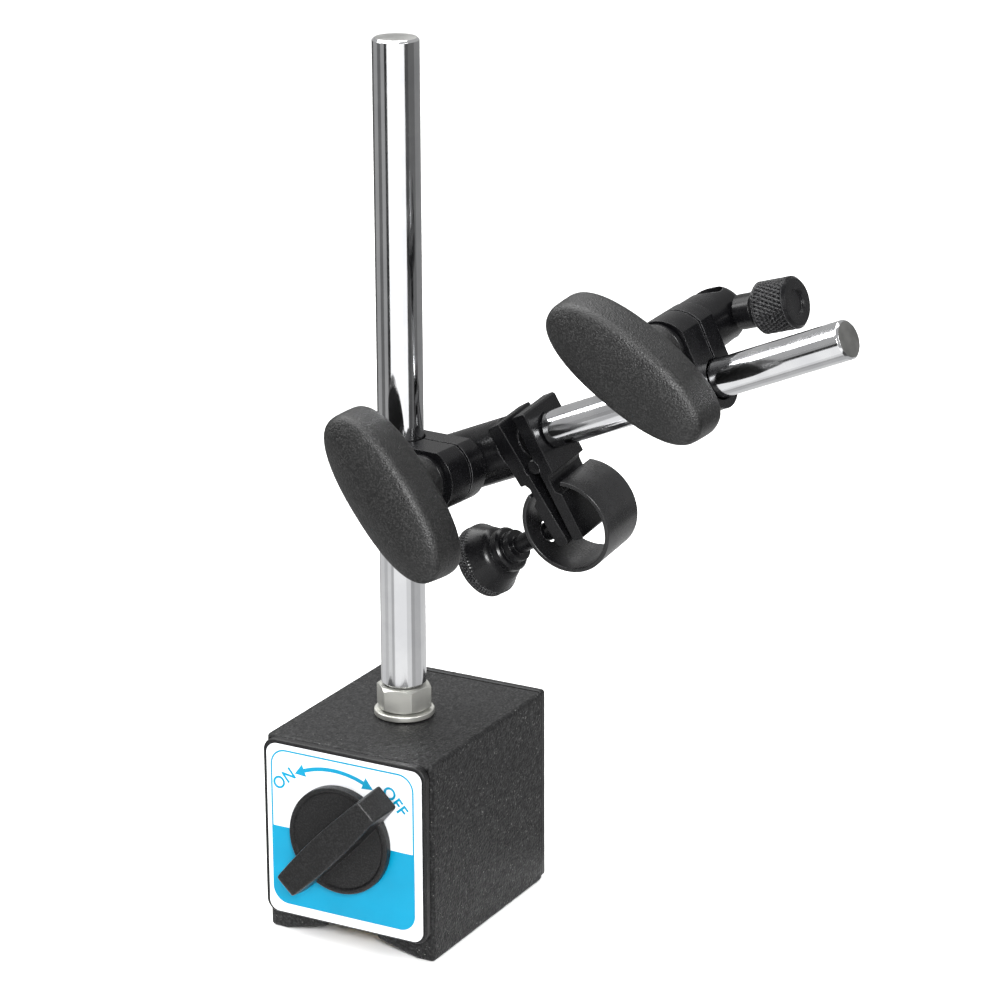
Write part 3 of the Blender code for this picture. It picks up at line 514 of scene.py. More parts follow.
class Shader:
    """A Principled material and the node helpers that build its detail."""

    def __init__(self, name, roughness, metallic=0.0, specular=0.5):
        self.material = bpy.data.materials.new(name)
        self.material.use_nodes = True
        self.tree = self.material.node_tree
        self.principled = self.tree.nodes["Principled BSDF"]
        constants = {"Metallic": metallic, "Roughness": roughness, "Specular IOR Level": specular}
        self.feed(self.principled, constants)
        self.place = self.node("ShaderNodeTexCoord").outputs["Object"]

    def feed(self, node, inputs):
        """Sets each socket to a constant or links it to another node's output."""
        for key, value in inputs.items():
            if isinstance(value, bpy.types.NodeSocket):
                self.tree.links.new(value, node.inputs[key])
            else:
                node.inputs[key].default_value = value

    def node(self, kind, inputs=None, **settings):
        made = self.tree.nodes.new(kind)
        for key, value in settings.items():
            setattr(made, key, value)
        self.feed(made, inputs or {})
        return made

    def stretched(self, factors):
        return self.node("ShaderNodeMapping", {"Scale": factors, "Vector": self.place}).outputs["Vector"]

    def noise(self, size, detail=3.0, vector=None):
        """Noise whose features are about this many metres across."""
        inputs = {"Scale": 1 / size, "Detail": detail, "Vector": vector or self.place}
        return self.node("ShaderNodeTexNoise", inputs).outputs["Fac"]

    def cells(self, size, smoothness):
        inputs = {"Scale": 1 / size, "Smoothness": smoothness, "Vector": self.place}
        return self.node("ShaderNodeTexVoronoi", inputs, feature="SMOOTH_F1").outputs["Distance"]

    def ranged(self, source, from_low, from_high, to_low=0.0, to_high=1.0):
        inputs = {"Value": source, "From Min": from_low, "From Max": from_high}
        inputs |= {"To Min": to_low, "To Max": to_high}
        return self.node("ShaderNodeMapRange", inputs, interpolation_type="SMOOTHSTEP").outputs["Result"]

    def math(self, operation, first, second):
        return self.node("ShaderNodeMath", {0: first, 1: second}, operation=operation).outputs["Value"]

    def mixed(self, share, first, second):
        """A colour between two others, each a constant or a socket."""
        made = self.node("ShaderNodeMix", {"Factor": share}, data_type="RGBA")
        for name, value in (("A", first), ("B", second)):
            index = next(i for i, s in enumerate(made.inputs) if s.name == name and s.type == "RGBA")
            self.feed(made, {index: (*value, 1) if isinstance(value, tuple) else value})
        return next(s for s in made.outputs if s.type == "RGBA")

    def edges(self, radius, low, high):
        """A mask that is 1 along edges, broken up unevenly, for lighter edges that are partly scuffing and
        partly a painted highlight.
        """
        bevel = self.node("ShaderNodeBevel", {"Radius": radius}, samples=4)
        normals = {0: bevel.outputs["Normal"], 1: self.node("ShaderNodeNewGeometry").outputs["Normal"]}
        dot = self.node("ShaderNodeVectorMath", normals, operation="DOT_PRODUCT")
        bend = self.math("SUBTRACT", 1.0, dot.outputs["Value"])
        uneven = self.ranged(self.noise(0.0016), 0.35, 0.6, 0.45, 1.0)
        return self.math("MULTIPLY", self.ranged(bend, low, high), uneven)

    def finish(self, color, roughness, height, depth, strength):
        """The material with its colour, its roughness and a bump this many metres deep."""
        bump = self.node("ShaderNodeBump", {"Strength": strength, "Distance": depth, "Height": height})
        sockets = {"Base Color": color, "Roughness": roughness, "Normal": bump.outputs["Normal"]}
        self.feed(self.principled, sockets)
        return self.material


def crinkle_paint():
    """Black wrinkle paint: tight wrinkles, a dusting of pale specks and lighter edges, partly scuffed and
    partly a painted highlight.
    """
    s = Shader("crinkle_paint_fine", 0.5, specular=0.22)
    wrinkles = s.noise(0.00065, 2.0)
    folds = s.cells(0.0008, 0.6)
    height = s.math("ADD", wrinkles, folds)
    base = s.mixed(s.ranged(wrinkles, 0.42, 0.66), (0.0025, 0.0026, 0.0028), (0.017, 0.017, 0.0174))
    specks = s.ranged(s.noise(0.00055, 1.0), 0.70, 0.76, 0.0, 0.6)
    base = s.mixed(specks, base, (0.22, 0.22, 0.21))
    # Lighter edges: partly scuffed paint, partly a painted highlight along every edge.
    base = s.mixed(s.math("MULTIPLY", s.edges(0.0011, 0.01, 0.14), 0.6), base, (0.06, 0.061, 0.063))
    rough = s.ranged(s.noise(0.0015), 0.3, 0.7, 0.45, 0.6)
    return s.finish(base, rough, height, 0.00016, 0.9)


def moulded(name, dark, pale, grain, depth, rough_low, rough_high, specular=0.4,
            scuff_and_highlight_colour=(0.09, 0.09, 0.092), rub_and_highlight_share=0.3):
    """Moulded plastic: fine spark-eroded grain, faint mottling and lighter edges, partly rubbed and partly a
    painted highlight.
    """
    s = Shader(name, 0.5, specular=specular)
    fine = s.noise(grain, 2.0)
    cloud = s.noise(0.006, 3.0)
    base = s.mixed(s.ranged(fine, 0.42, 0.66), dark, pale)
    base = s.mixed(s.math("MULTIPLY", s.ranged(cloud, 0.35, 0.7), 0.3), base, dark)
    # Lighter edges: partly rubbed, partly a painted highlight along every edge.
    base = s.mixed(s.math("MULTIPLY", s.edges(0.0006, 0.04, 0.3), rub_and_highlight_share), base, scuff_and_highlight_colour)
    rough = s.ranged(s.math("ADD", s.math("MULTIPLY", fine, 0.6), s.math("MULTIPLY", cloud, 0.4)),
                     0.35, 0.65, rough_low, rough_high)
    return s.finish(base, rough, fine, depth, 0.8)


def plated(name, dark, pale, scuff_and_highlight_colour, rough_low, rough_high, metallic, streak=(1, 1, 1), scuff_and_highlight_share=0.6,
           depth=0.000012, specular=0.5):
    """Plated, blacked or bare metal: fine machining streaks, cloudy colour and brighter edges, partly scuffed
    and partly a painted highlight.
    """
    s = Shader(name, 0.3, metallic, specular)
    streaks = s.noise(0.0007, 3.0, s.stretched(streak))
    cloud = s.noise(0.007, 3.0)
    base = s.mixed(s.ranged(cloud, 0.3, 0.7), dark, pale)
    # Brighter edges: partly scuffed, partly a painted highlight along every edge.
    base = s.mixed(s.math("MULTIPLY", s.edges(0.0004, 0.05, 0.3), scuff_and_highlight_share), base, scuff_and_highlight_colour)
    rough = s.ranged(s.math("ADD", s.math("MULTIPLY", streaks, 0.5), s.math("MULTIPLY", cloud, 0.5)),
                     0.35, 0.65, rough_low, rough_high)
    return s.finish(base, rough, streaks, depth, 0.6)


def printed(name, dark, pale, specular=0.35):
    """Printed film: a faint orange peel under a satin varnish."""
    s = Shader(name, 0.35, specular=specular)
    base = s.mixed(s.ranged(s.noise(0.009), 0.3, 0.7), dark, pale)
    rough = s.ranged(s.noise(0.002), 0.3, 0.7, 0.3, 0.42)
    return s.finish(base, rough, s.noise(0.0012), 0.00001, 0.5)


def make_materials():
    """The finishes by name. Colours run from dark to pale, then the edge colour (scuffing and painted
    highlight); roughness from low to high.
    """
    return {
        "crinkle_paint": crinkle_paint(),
        "black_plastic": moulded("black_plastic_fine", (0.004, 0.004, 0.0042), (0.013, 0.013, 0.0135),
                                 0.00045, 0.00010, 0.34, 0.46, 0.28),
        "wing_plastic": moulded("wing_plastic_fine", (0.003, 0.003, 0.0031), (0.017, 0.017, 0.0168),
                                0.00045, 0.00026, 0.34, 0.46, 0.38, (0.05, 0.05, 0.052), 0.12),
        "label": printed("label_white", (0.66, 0.67, 0.69), (0.72, 0.73, 0.74)),
        "label_blue": printed("label_blue", (0.0, 0.205, 0.345), (0.0, 0.22, 0.37), 0.15),
        "chrome": plated("chrome_fine", (0.64, 0.645, 0.66), (0.70, 0.705, 0.715), (0.80, 0.80, 0.81),
                         0.07, 0.13, 1.0, (1, 1, 0.05), 0.3, 0.000004),
        "chrome_end": plated("chrome_end", (0.20, 0.20, 0.195), (0.30, 0.30, 0.29), (0.75, 0.75, 0.75),
                             0.38, 0.5, 1.0, scuff_and_highlight_share=0.9, depth=0.00002),
        "zinc": plated("zinc_fine", (0.50, 0.50, 0.47), (0.60, 0.60, 0.56), (0.80, 0.80, 0.78),
                       0.32, 0.44, 0.85, (1, 1, 4), 0.5),
        "black_oxide": plated("black_oxide_fine", (0.0022, 0.0022, 0.0026), (0.0045, 0.0045, 0.005),
                              (0.36, 0.36, 0.37), 0.22, 0.30, 0.0, scuff_and_highlight_share=0.35, depth=0.000003, specular=0.24),
        "spring_steel": plated("spring_steel_fine", (0.006, 0.006, 0.0065), (0.010, 0.010, 0.0105),
                               (0.45, 0.45, 0.46), 0.24, 0.34, 0.0, scuff_and_highlight_share=0.3, specular=0.4),
        "steel": plated("steel_fine", (0.42, 0.42, 0.43), (0.52, 0.52, 0.53), (0.70, 0.70, 0.71),
                        0.26, 0.4, 1.0),
        "brass": plated("brass_fine", (0.58, 0.42, 0.17), (0.68, 0.50, 0.22), (0.82, 0.66, 0.36),
                        0.28, 0.42, 1.0),
        "ferrite": moulded("ferrite_fine", (0.03, 0.03, 0.033), (0.05, 0.05, 0.055), 0.0004, 0.00005,
                           0.6, 0.8),
    }


def refine_cad_materials():
    """Gives the CAD nodes that stay in view their detailed materials, slot by slot."""
    for node in frame["nodes"].values():
        for material_slot in node.material_slots:
            name = material_slot.material.name.split(".")[0] if material_slot.material else ""
            if name in FINISHES:
                material_slot.material = FINISHES[name]


# --- Magnet block and covers ---


def make_block(local):
    """The painted block with its V groove and slot, bored for the magnet and the column."""
    low, high = span("pole_left", local)[0], span("pole_right", local)[1]
    half_slot, half_top, half_groove = SLOT_WIDTH / 2, SLOT_TOP_WIDTH / 2, GROOVE_WIDTH / 2
    right = [(half_top, SLOT_DEPTH), (half_slot, GROOVE_DEPTH), (half_groove, 0), (high.x, 0)]
    right.append((high.x, high.z))
    body = slab(right + [(-x, z) for x, z in reversed(right)], low.y, high.y)
    rotor_low, rotor_high = span("magnet_rotor", local)
    bore_radius = (rotor_high.z - rotor_low.z) / 2 + CLEARANCE
    bore = rod_between(bore_radius, 2 * low.y, 2 * high.y, "Y", SEGMENTS)
    column_low, column_high = span("column", local)
    socket = rod_between(STUD_BORE, column_low.z - CLEARANCE, high.z + OVERCUT)
    middle = (column_low + column_high) / 2
    tools = [shifted(bore, 0, 0, (rotor_low.z + rotor_high.z) / 2), shifted(socket, middle.x, middle.y, 0)]
    body = cut(bevelled(body, BLOCK_EDGE, 4), *tools)
    piece("magnet_block", body, local, "crinkle_paint", "base", ["pole_left", "pole_right", "spacer_top"])
    low, high = span("spacer_bottom", local)
    half = half_top - STRIP_GAP
    strip = block_between((-half, low.y, low.z - STRIP_SINK), (half, high.y, low.z + STRIP_THICK))
    piece("slot_strip", strip, local, "brass", "base", ["spacer_bottom"], SOFT)


def shaft_hole(local, low, high):
    """The cutter for the switch shaft's hole through a plate."""
    shaft_low, shaft_high = span("rotor_shaft", local)
    hole = rod_between(STUD_BORE, low.y - OVERCUT, high.y + OVERCUT, "Y")
    return shifted(hole, 0, 0, (shaft_low.z + shaft_high.z) / 2)


def make_covers(local):
    low, high = span("front_cover", local)
    body = slab(rounded_rectangle((low.x, low.z), (high.x, high.z), COVER_CORNER), low.y, high.y)
    body = cut(bevelled(body, COVER_EDGE), shaft_hole(local, low, high))
    piece("front_cover_shell", body, local, "black_plastic", "base", ["front_cover"])
    low, high = span("rear_cover", local)
    body = slab(rear_outline(low, high), low.y, high.y)
    sinks = [make_cover_screw("rear_cover_screw_" + str(index), local, low.y) for index in range(1, 5)]
    body = cut(bevelled(body, COVER_EDGE), *sinks)
    piece("rear_cover_shell", body, local, "black_plastic", "base", ["rear_cover"])


def rear_outline(low, high):
    """The rear cover's outline: down to the feet beside the groove."""
    foot, half_top, half_slot = GROOVE_WIDTH / 2, SLOT_TOP_WIDTH / 2, SLOT_WIDTH / 2
    outline = [(foot, COVER_LIFT), (high.x, COVER_LIFT), (high.x, high.z), (low.x, high.z)]
    outline += [(low.x, COVER_LIFT), (-foot, COVER_LIFT), (-half_slot, GROOVE_DEPTH)]
    outline += [(-half_top, SLOT_DEPTH), (half_top, SLOT_DEPTH), (half_slot, GROOVE_DEPTH)]
    return soften(outline, REAR_CORNER, closed=True)


def make_cover_screw(node, local, bottom):
    """A countersunk screw with a cross recess. It returns the cutter for the screw's hole."""
    low, high = span(node, local)
    place = Matrix.Translation(((low.x + high.x) / 2, 0, (low.z + high.z) / 2))
    head, top, thread = (high.x - low.x) / 2, high.y, COVER_THREAD
    profile = [(0, low.y), (thread - CLEARANCE, low.y), (thread, low.y + CLEARANCE)]
    profile += [(thread, top - (head - thread)), (head, top - SOFT / 2), (head - SOFT, top), (0, top)]
    body = lathe(soften(profile, SOFT / 2), "Y", SMALL_SEGMENTS)
    reach, arm, depth = head * CROSS_REACH, head * CROSS_ARM, head * CROSS_DEPTH
    bars = [block_between((-reach, top - depth, -arm), (reach, top + OVERCUT, arm)),
            block_between((-arm, top - depth, -reach), (arm, top + OVERCUT, reach))]
    body = cut(body, *bars)
    fine_piece(node, body, local @ place, "steel", "base")
    bore, wide = thread + CLEARANCE, head + CLEARANCE
    sink = [(0, bottom - OVERCUT), (bore, bottom - OVERCUT), (bore, top - head + thread), (wide, top)]
    sink += [(wide, top + OVERCUT), (0, top + OVERCUT)]
    return moved(lathe(sink, "Y", SMALL_SEGMENTS), place)


# --- Label ---


def blue_piece(name, bm, local):
    piece(name, bm, local, "label_blue", "base")


def make_label(local):
    """A white film with a blue outline, a blue lower field, an arrow over the knob and ON and OFF."""
    low, high = span("label_plate", local)
    front, back = low.y, low.y + PRINT_THICK
    corners = (low.x + FILM_TRIM_LEFT, low.z + FILM_TRIM), (high.x - FILM_TRIM, high.z - FILM_TRIM)
    film = slab(rounded_rectangle(*corners, FILM_CORNER), back, high.y)
    film = cut(film, shaft_hole(local, low, high))
    piece("label_film", film, local, "label", "base", ["label_plate"])
    left, right = low.x + OUTLINE_INSET_LEFT, high.x - OUTLINE_INSET_RIGHT
    bottom, top = low.z + OUTLINE_INSET_BOTTOM, high.z - OUTLINE_INSET_TOP
    corner, width = OUTLINE_CORNER, OUTLINE_WIDTH
    outside = rounded_rectangle((left, bottom), (right, top), corner)
    inside = rounded_rectangle((left + width, bottom + width), (right - width, top - width), corner - width)
    rings = []
    for points, depth in ((outside, back), (outside, front), (inside, front), (inside, back)):
        rings.append([Vector((x, depth, z)) for x, z in points])
    blue_piece("label_outline", skinned(rings, True), local)
    level = bottom + (top - bottom) * FIELD_SHARE
    field = arc((left + corner, bottom + corner), corner, pi, 1.5 * pi)
    field += arc((right - corner, bottom + corner), corner, 1.5 * pi, 2 * pi)
    field = slab(field + [(right, level), (left, level)], front - FIELD_RISE, back)
    blue_piece("label_field", cut(field, shaft_hole(local, low, high)), local)
    middle = (low.z + high.z) / 2
    make_arrow(local, front, back, middle)
    print_text("label_on", "ON", ON_PLACE, ON_TURN, front, back, middle, local)
    print_text("label_off", "OFF", OFF_PLACE, OFF_TURN, front, back, middle, local)


def make_arrow(local, front, back, middle):
    """The curved arrow over the knob, with a head at each end."""
    center = (ARROW_CENTER[0], middle + ARROW_CENTER[1])
    head_turn = ARROW_HEAD_LENGTH / ARROW_RADIUS
    start, end = pi / 2 + ARROW_SPREAD, pi / 2 - ARROW_SPREAD
    low, high = start - head_turn, end + head_turn
    thin, wide = ARROW_WIDTH / 2, ARROW_HEAD_WIDTH / 2

    def at(rise, turn):
        return (center[0] + (ARROW_RADIUS + rise) * cos(turn), center[1] + (ARROW_RADIUS + rise) * sin(turn))

    outline = [at(0, start), at(wide, low), *arc(center, ARROW_RADIUS + thin, low, high, ARROW_STEPS)]
    outline += [at(wide, high), at(0, end), at(-wide, high)]
    outline += [*arc(center, ARROW_RADIUS - thin, high, low, ARROW_STEPS), at(-wide, low)]
    blue_piece("label_arrow", slab(outline, front, back), local)


def print_text(name, words, place, turn, front, back, middle, local):
    """Raised lettering on the label, turned about its middle."""
    data = bpy.data.curves.new(name, "FONT")
    data.body = words
    data.align_x = "CENTER"
    data.align_y = "CENTER"
    data.size = TEXT_HEIGHT * TEXT_SIZE_SHARE
    data.space_character = TEXT_SPACING
    data.extrude = (back - front) / 2
    data.offset = TEXT_HEIGHT * TEXT_WEIGHT_SHARE
    bm = taken(linked("work", data))
    stand = Matrix.Rotation(pi / 2, 4, "X")
    tilt = Matrix.Rotation(-turn, 4, "Y")
    shift = Matrix.Translation((place[0], (front + back) / 2, middle + place[1]))
    moved(bm, shift @ tilt @ stand)
    bmesh.ops.remove_doubles(bm, verts=bm.verts, dist=TINY)
    bmesh.ops.recalc_face_normals(bm, faces=bm.faces)
    blue_piece(name, bm, local)


# --- Switch knob ---


def bar_outline(half_length, spread, height):
    """The handle's section at this height along Y, long along X, widest in the middle."""
    middle, end = KNOB_BAR_WIDTH / 2 + spread, KNOB_BAR_END_WIDTH / 2 + spread
    shares = [2 * i / KNOB_BAR_STEPS - 1 for i in range(KNOB_BAR_STEPS + 1)]
    side = [(share * half_length, middle - (middle - end) * share**2) for share in shares]
    return [Vector((x, height, z)) for x, z in side] + [Vector((x, height, -z)) for x, z in reversed(side)]


def make_switch_knob(local):
    """The disc with its raised rim and the leaf-shaped handle across it."""
    turned_back = local @ Matrix.Rotation(KNOB_ANGLE - pi / 2, 4, "Y")
    low, high = span("switch_knob", turned_back)
    half_bar, disc, face = max(-low.x, high.x), max(-low.z, high.z), high.y
    front = face - KNOB_DISC_THICK
    profile = [(0, face), (disc, face), (disc, front), (disc - KNOB_RIM, front)]
    profile += [(disc - KNOB_RIM - KNOB_RECESS, front + KNOB_RECESS), (0, front + KNOB_RECESS)]
    plate = lathe(soften(profile, KNOB_EDGE), "Y", SEGMENTS)
    foot = face - KNOB_BAR_SINK
    handle = skinned([[Vector((0, foot, 0))], bar_outline(half_bar, KNOB_BAR_DRAFT, foot),
                      bar_outline(half_bar * KNOB_BAR_TOP_SHARE, 0, low.y), [Vector((0, low.y, 0))]])
    joined = combine(plate, "UNION", bevelled(handle, KNOB_EDGE, 4, HANDLE_ANGLE))
    tip = span("rotor_shaft", local)[0].y
    hole = rod_between(STUD_BORE, tip - CLEARANCE, face + OVERCUT, "Y")
    joined = cut(joined, hole)
    fine_piece("switch_knob", joined, turned_back, "black_plastic", "switch")


# --- Column ---


def lathed_piece(node, profile, local, finish, body, axis="Z", segments=SEGMENTS, soft=SOFT):
    looped = profile[0][0] > 0
    smooth = soften(profile, soft, closed=looped)
    return fine_piece(node, lathe(smooth, axis, segments, looped), local, finish, body)


def face_ends(obj, local, axis_index, low, high):
    """Gives the flat end faces of a bar their own turned finish."""
    obj.data.materials.append(FINISHES["chrome_end"])
    inverse = local.inverted()
    for face in obj.data.polygons:
        place = (inverse @ face.center)[axis_index]
        if min(abs(place - low), abs(place - high)) < END_REACH:
            face.material_index = 1


def make_column(local):
    low, high = span("column_washer", local)
    profile = [(STUD_BORE, low.z), (high.x, low.z), (high.x, high.z), (STUD_BORE, high.z)]
    lathed_piece("column_washer", profile, local, "zinc", "base", soft=EDGE)
    make_nut(local)
    low, high = span("column", local)
    radius, spigot, chamfer = high.x, COLUMN_SPIGOT, COLUMN_CHAMFER
    shoulder = span("column_nut", local)[1].z + CLEARANCE
    profile = [(0, low.z), (spigot - EDGE, low.z), (spigot, low.z + EDGE), (spigot, shoulder)]
    profile += [(radius - chamfer, shoulder), (radius, shoulder + chamfer), (radius, high.z - chamfer)]
    profile += [(radius - chamfer, high.z), (0, high.z)]
    bar = lathed_piece("column", profile, local, "chrome", "column", "Z", FINE_SEGMENTS)
    face_ends(bar, local, 2, low.z, high.z)


def make_nut(local):
    """A hexagon with both faces turned to a chamfer, and a bored thread."""
    low, high = span("column_nut", local)
    corner = NUT_FLATS / sqrt(3)
    turns = [i * pi / 3 + NUT_TURN for i in range(6)]
    hexagon = [(corner * cos(turn), corner * sin(turn)) for turn in turns]
    rim, reach = NUT_FLATS / 2 * NUT_RIM_SHARE, corner + OVERCUT
    rise = (reach - rim) * tan(NUT_CHAMFER_SLOPE)
    blank = lathe([(0, low.z), (rim, low.z), (reach, low.z + rise), (reach, high.z - rise), (rim, high.z),
                   (0, high.z)])
    body = prism(soften(hexagon, EDGE, closed=True), low.z, high.z)
    body = combine(body, "INTERSECT", blank)
    under, over = low.z - OVERCUT, high.z + OVERCUT
    hole = lathe([(0, under), (NUT_MOUTH, under), (STUD_BORE, low.z + NUT_MOUTH_DEPTH),
                  (STUD_BORE, high.z - NUT_MOUTH_DEPTH), (NUT_MOUTH, over), (0, over)])
    fine_piece("column_nut", cut(body, hole), local, "zinc", "base")


# --- Split clamps and wing knobs ---


def make_grip(side, stud_joint, bar, bar_frame, angle):
    """The lower or upper split clamp with its washer and wing knob, for the bar that it grips."""
    stud = FRAMES[side + "_stud"]
    bore = span(bar, FRAMES[bar_frame])[1].y + CLEARANCE
    make_clamp(side + "_clamp", joint_point(stud_joint), bore)
    low, high = span(side + "_washer", stud)
    radius = (high.x - low.x) / 2
    profile = [(STUD_BORE, low.y), (radius, low.y), (radius, high.y), (STUD_BORE, high.y)]
    lathed_piece(side + "_washer", profile, stud, "black_oxide", side + "_clamp", "Y", soft=CLEARANCE)
    make_wing_knob(side, stud @ Matrix.Rotation(angle, 4, "Y"))


def make_clamp(node, stud_point, bar):
    """A split block with round ears, rounded back and broken edges."""
    local = FRAMES[node]
    low, high = span(node, local)
    half, flat = high.y, high.z
    ear_center = high.x - EAR_RADIUS
    corner = ear_center + sqrt(EAR_RADIUS**2 - flat**2)
    turn = atan2(flat, corner - ear_center)
    outline = arc((ear_center, 0), EAR_RADIUS, -turn, turn, EAR_STEPS) + [(low.x, flat), (low.x, -flat)]
    reach = high.x + OVERCUT
    plan = arc((0, 0), half, pi / 2, 3 * pi / 2, BACK_STEPS) + [(reach, -half), (reach, half)]
    shape = combine(slab(outline, -half, half), "INTERSECT", prism(plan, 2 * low.z, 2 * high.z))
    shape = bevelled(shape, CLAMP_EDGE, 3, BEVEL_ANGLE)
    rim, past = bar + CLAMP_EDGE, flat + OVERCUT
    bore = lathe([(0, -past), (rim + OVERCUT, -past), (rim, -flat), (bar, -flat + CLAMP_EDGE),
                  (bar, flat - CLAMP_EDGE), (rim, flat), (rim + OVERCUT, past), (0, past)])
    slit_low = CLAMP_SLIT_OFFSET - CLAMP_SLIT / 2
    slit = block_between((0, slit_low, -2 * flat), (2 * reach, slit_low + CLAMP_SLIT, 2 * flat))
    stud = rod_between(STUD_BORE, -2 * half, 2 * half, "Y")
    stud = shifted(stud, (local.inverted() @ stud_point).x, 0, 0)
    fine_piece(node, cut(shape, bore, slit, stud), local, "black_oxide", node)


def rounded(value):
    """A sine or cosine, reshaped so that the oval it draws has fuller corners."""
    return copysign(abs(value) ** (2 / WING_SQUARENESS), value)


def wing_outline(length, width, height):
    turns = [2 * pi * i / FINE_SEGMENTS for i in range(FINE_SEGMENTS)]
    return [Vector((rounded(sin(turn)) * length, height, rounded(cos(turn)) * width)) for turn in turns]


def smooth_sections(points, steps):
    """A Catmull-Rom curve through the sections."""
    made = []
    padded = [points[0], *points, points[-1]]
    for a, b, c, d in zip(padded, padded[1:], padded[2:], padded[3:]):
        for step in range(steps):
            t = step / steps
            made.append(tuple(0.5 * (2 * q + (r - p) * t + (2 * p - 5 * q + 4 * r - s) * t * t
                                     + (3 * q - p - 3 * r + s) * t**3) for p, q, r, s in zip(a, b, c, d)))
    made.append(points[-1])
    return made


def make_wing_knob(side, own):
    """A moulded oval knob on a round hub, with a blind pocket for its brass insert."""
    node = side + "_wing_knob"
    low, high = span(node, own)
    half_length, half_width, hub, face = high.x, high.z, high.y, low.y
    back = hub - HUB_LENGTH
    insert_low, insert_high = span(side + "_knob_insert", FRAMES[side + "_stud"])
    pocket, pocket_end = insert_high.x + CLEARANCE, insert_low.y - CLEARANCE
    profile = [(0, pocket_end), (pocket, pocket_end), (pocket, hub), (HUB_RADIUS - CLEARANCE, hub)]
    profile += [(HUB_RADIUS, hub - CLEARANCE), (HUB_RADIUS, back + HUB_FILLET)]
    profile.append((HUB_RADIUS * HUB_FLARE, back))
    rings = [circle(radius, height, "Y", FINE_SEGMENTS) for radius, height in profile]
    for share, depth in smooth_sections(WING_SECTIONS, SECTION_STEPS):
        inset = max(share, 0) * half_width
        rings.append(wing_outline(half_length - inset, half_width - inset, back - depth * (back - face)))
    rings.append([Vector((0, face, 0))])
    fine_piece(node, skinned(rings), own, "wing_plastic", side + "_knob")


# --- Swivel head, levers, pin and ring ---


def make_swivel_head(swivel, left, levers):
    """A round bar with its end cut square to the left lever and a spigot that enters it."""
    low, high = span("swivel_head", swivel)
    radius, center = (high.y - low.y) / 2, (low.y + high.y) / 2
    pivot = (swivel.inverted() @ levers.translation).x
    to_lever = swivel.inverted() @ left

    def from_here(start):
        return moved(block_between((start, -FAR, -FAR), (FAR, FAR, FAR)), to_lever)

    body = lathe(soften([(0, low.x), (radius, low.x), (radius, pivot), (0, pivot)], HEAD_ROUND), "X")
    outer = span("left_lever", left)[0].x
    body = cut(shifted(body, 0, center, 0), from_here(outer - CLEARANCE))
    pin = shifted(rod_between(SWIVEL_SPIGOT, 0, pivot, "X"), 0, center, 0)
    pin = cut(pin, from_here(-LEFT_LEVER_INNER))
    body = combine(body, "UNION", pin)
    hole = rod_between(STUD_BORE, 0, span("lower_stud", swivel)[1].y + CLEARANCE, "Y")
    body = cut(body, hole)
    fine_piece("swivel_head", body, swivel, "black_oxide", "arm_base", HEAD_EDGE)


def lever_profile(inner, outer, side, top, bottom):
    """A lever's section as (up, across), with side -1 for the left lever and 1 for the right."""
    notch, corner = outer - NOTCH_DEPTH, LEVER_CORNER
    points = [(inner, top), (outer - corner, top), (outer, top - corner), (outer, -NOTCH_TOP)]
    points += [(notch + NOTCH_DEPTH / 3, -NOTCH_TOP), (notch, -NOTCH_TOP - 2 * corner)]
    points += [(notch, -NOTCH_BOTTOM), (outer - corner, -NOTCH_BOTTOM - 2 * corner)]
    points += [(outer - corner, corner - bottom), (outer - 2 * corner, -bottom)]
    points += [(inner + corner, -bottom), (inner, corner - bottom)]
    return [(up, side * across) for across, up in soften(points, LEVER_ROUND, closed=True, steps=3)]


def screw_hole(radius, start, end, left):
    """A cutter along the fine screw, in the left lever's frame."""
    drop = (left.inverted() @ joint_point("fine_screw_turn")).z
    return shifted(rod_between(radius, start, end, "X"), 0, 0, drop)


def make_levers(left, levers, swivel, rod):
    """The two clamping levers, each bored for its bar and grooved for the pin between them."""
    right = levers @ Matrix.Rotation(LEVER_TILT, 4, "Y")
    half = span("left_lever", left)[1].y
    head_low, head_high = span("swivel_head", swivel)
    middle = (head_low.y + head_high.y) / 2
    spigot = shifted(rod_between(SWIVEL_SPIGOT + CLEARANCE, 0, FAR, "X"), 0, middle, 0)
    left_holes = [moved(spigot, left.inverted() @ swivel), screw_hole(SCREW_BORE, -HOLE_REACH, 0, left)]
    spigot = rod_between(ROD_SPIGOT + CLEARANCE, -HOLE_REACH, HOLE_REACH, "X")
    right_holes = [moved(spigot, right.inverted() @ rod)]
    for node, side, own, inner, holes, body in (
            ("left_lever", -1, left, LEFT_LEVER_INNER, left_holes, "arm_base"),
            ("right_lever", 1, right, RIGHT_LEVER_INNER, right_holes, "fine_lever")):
        low, high = span(node, own)
        outer = -low.x if side < 0 else high.x
        shape = prism(lever_profile(inner, outer, side, high.z, -low.z), -half, half, "Y")
        groove = rod_between(PIN_BORE, -HOLE_REACH, HOLE_REACH, "Y")
        shape = cut(bevelled(shape, PLATE_EDGE, 3, PLATE_ANGLE), groove, *holes)
        fine_piece(node, shape, own, "black_oxide", body)
    low, high = span("pivot_pin", levers)
    radius, edge = high.x, PLATE_EDGE
    profile = [(0, low.y), (radius - edge, low.y), (radius, low.y + edge), (radius, high.y - edge)]
    profile += [(radius - edge, high.y), (0, high.y)]
    lathed_piece("pivot_pin", profile, levers, "black_oxide", "arm_base", "Y", SMALL_SEGMENTS)


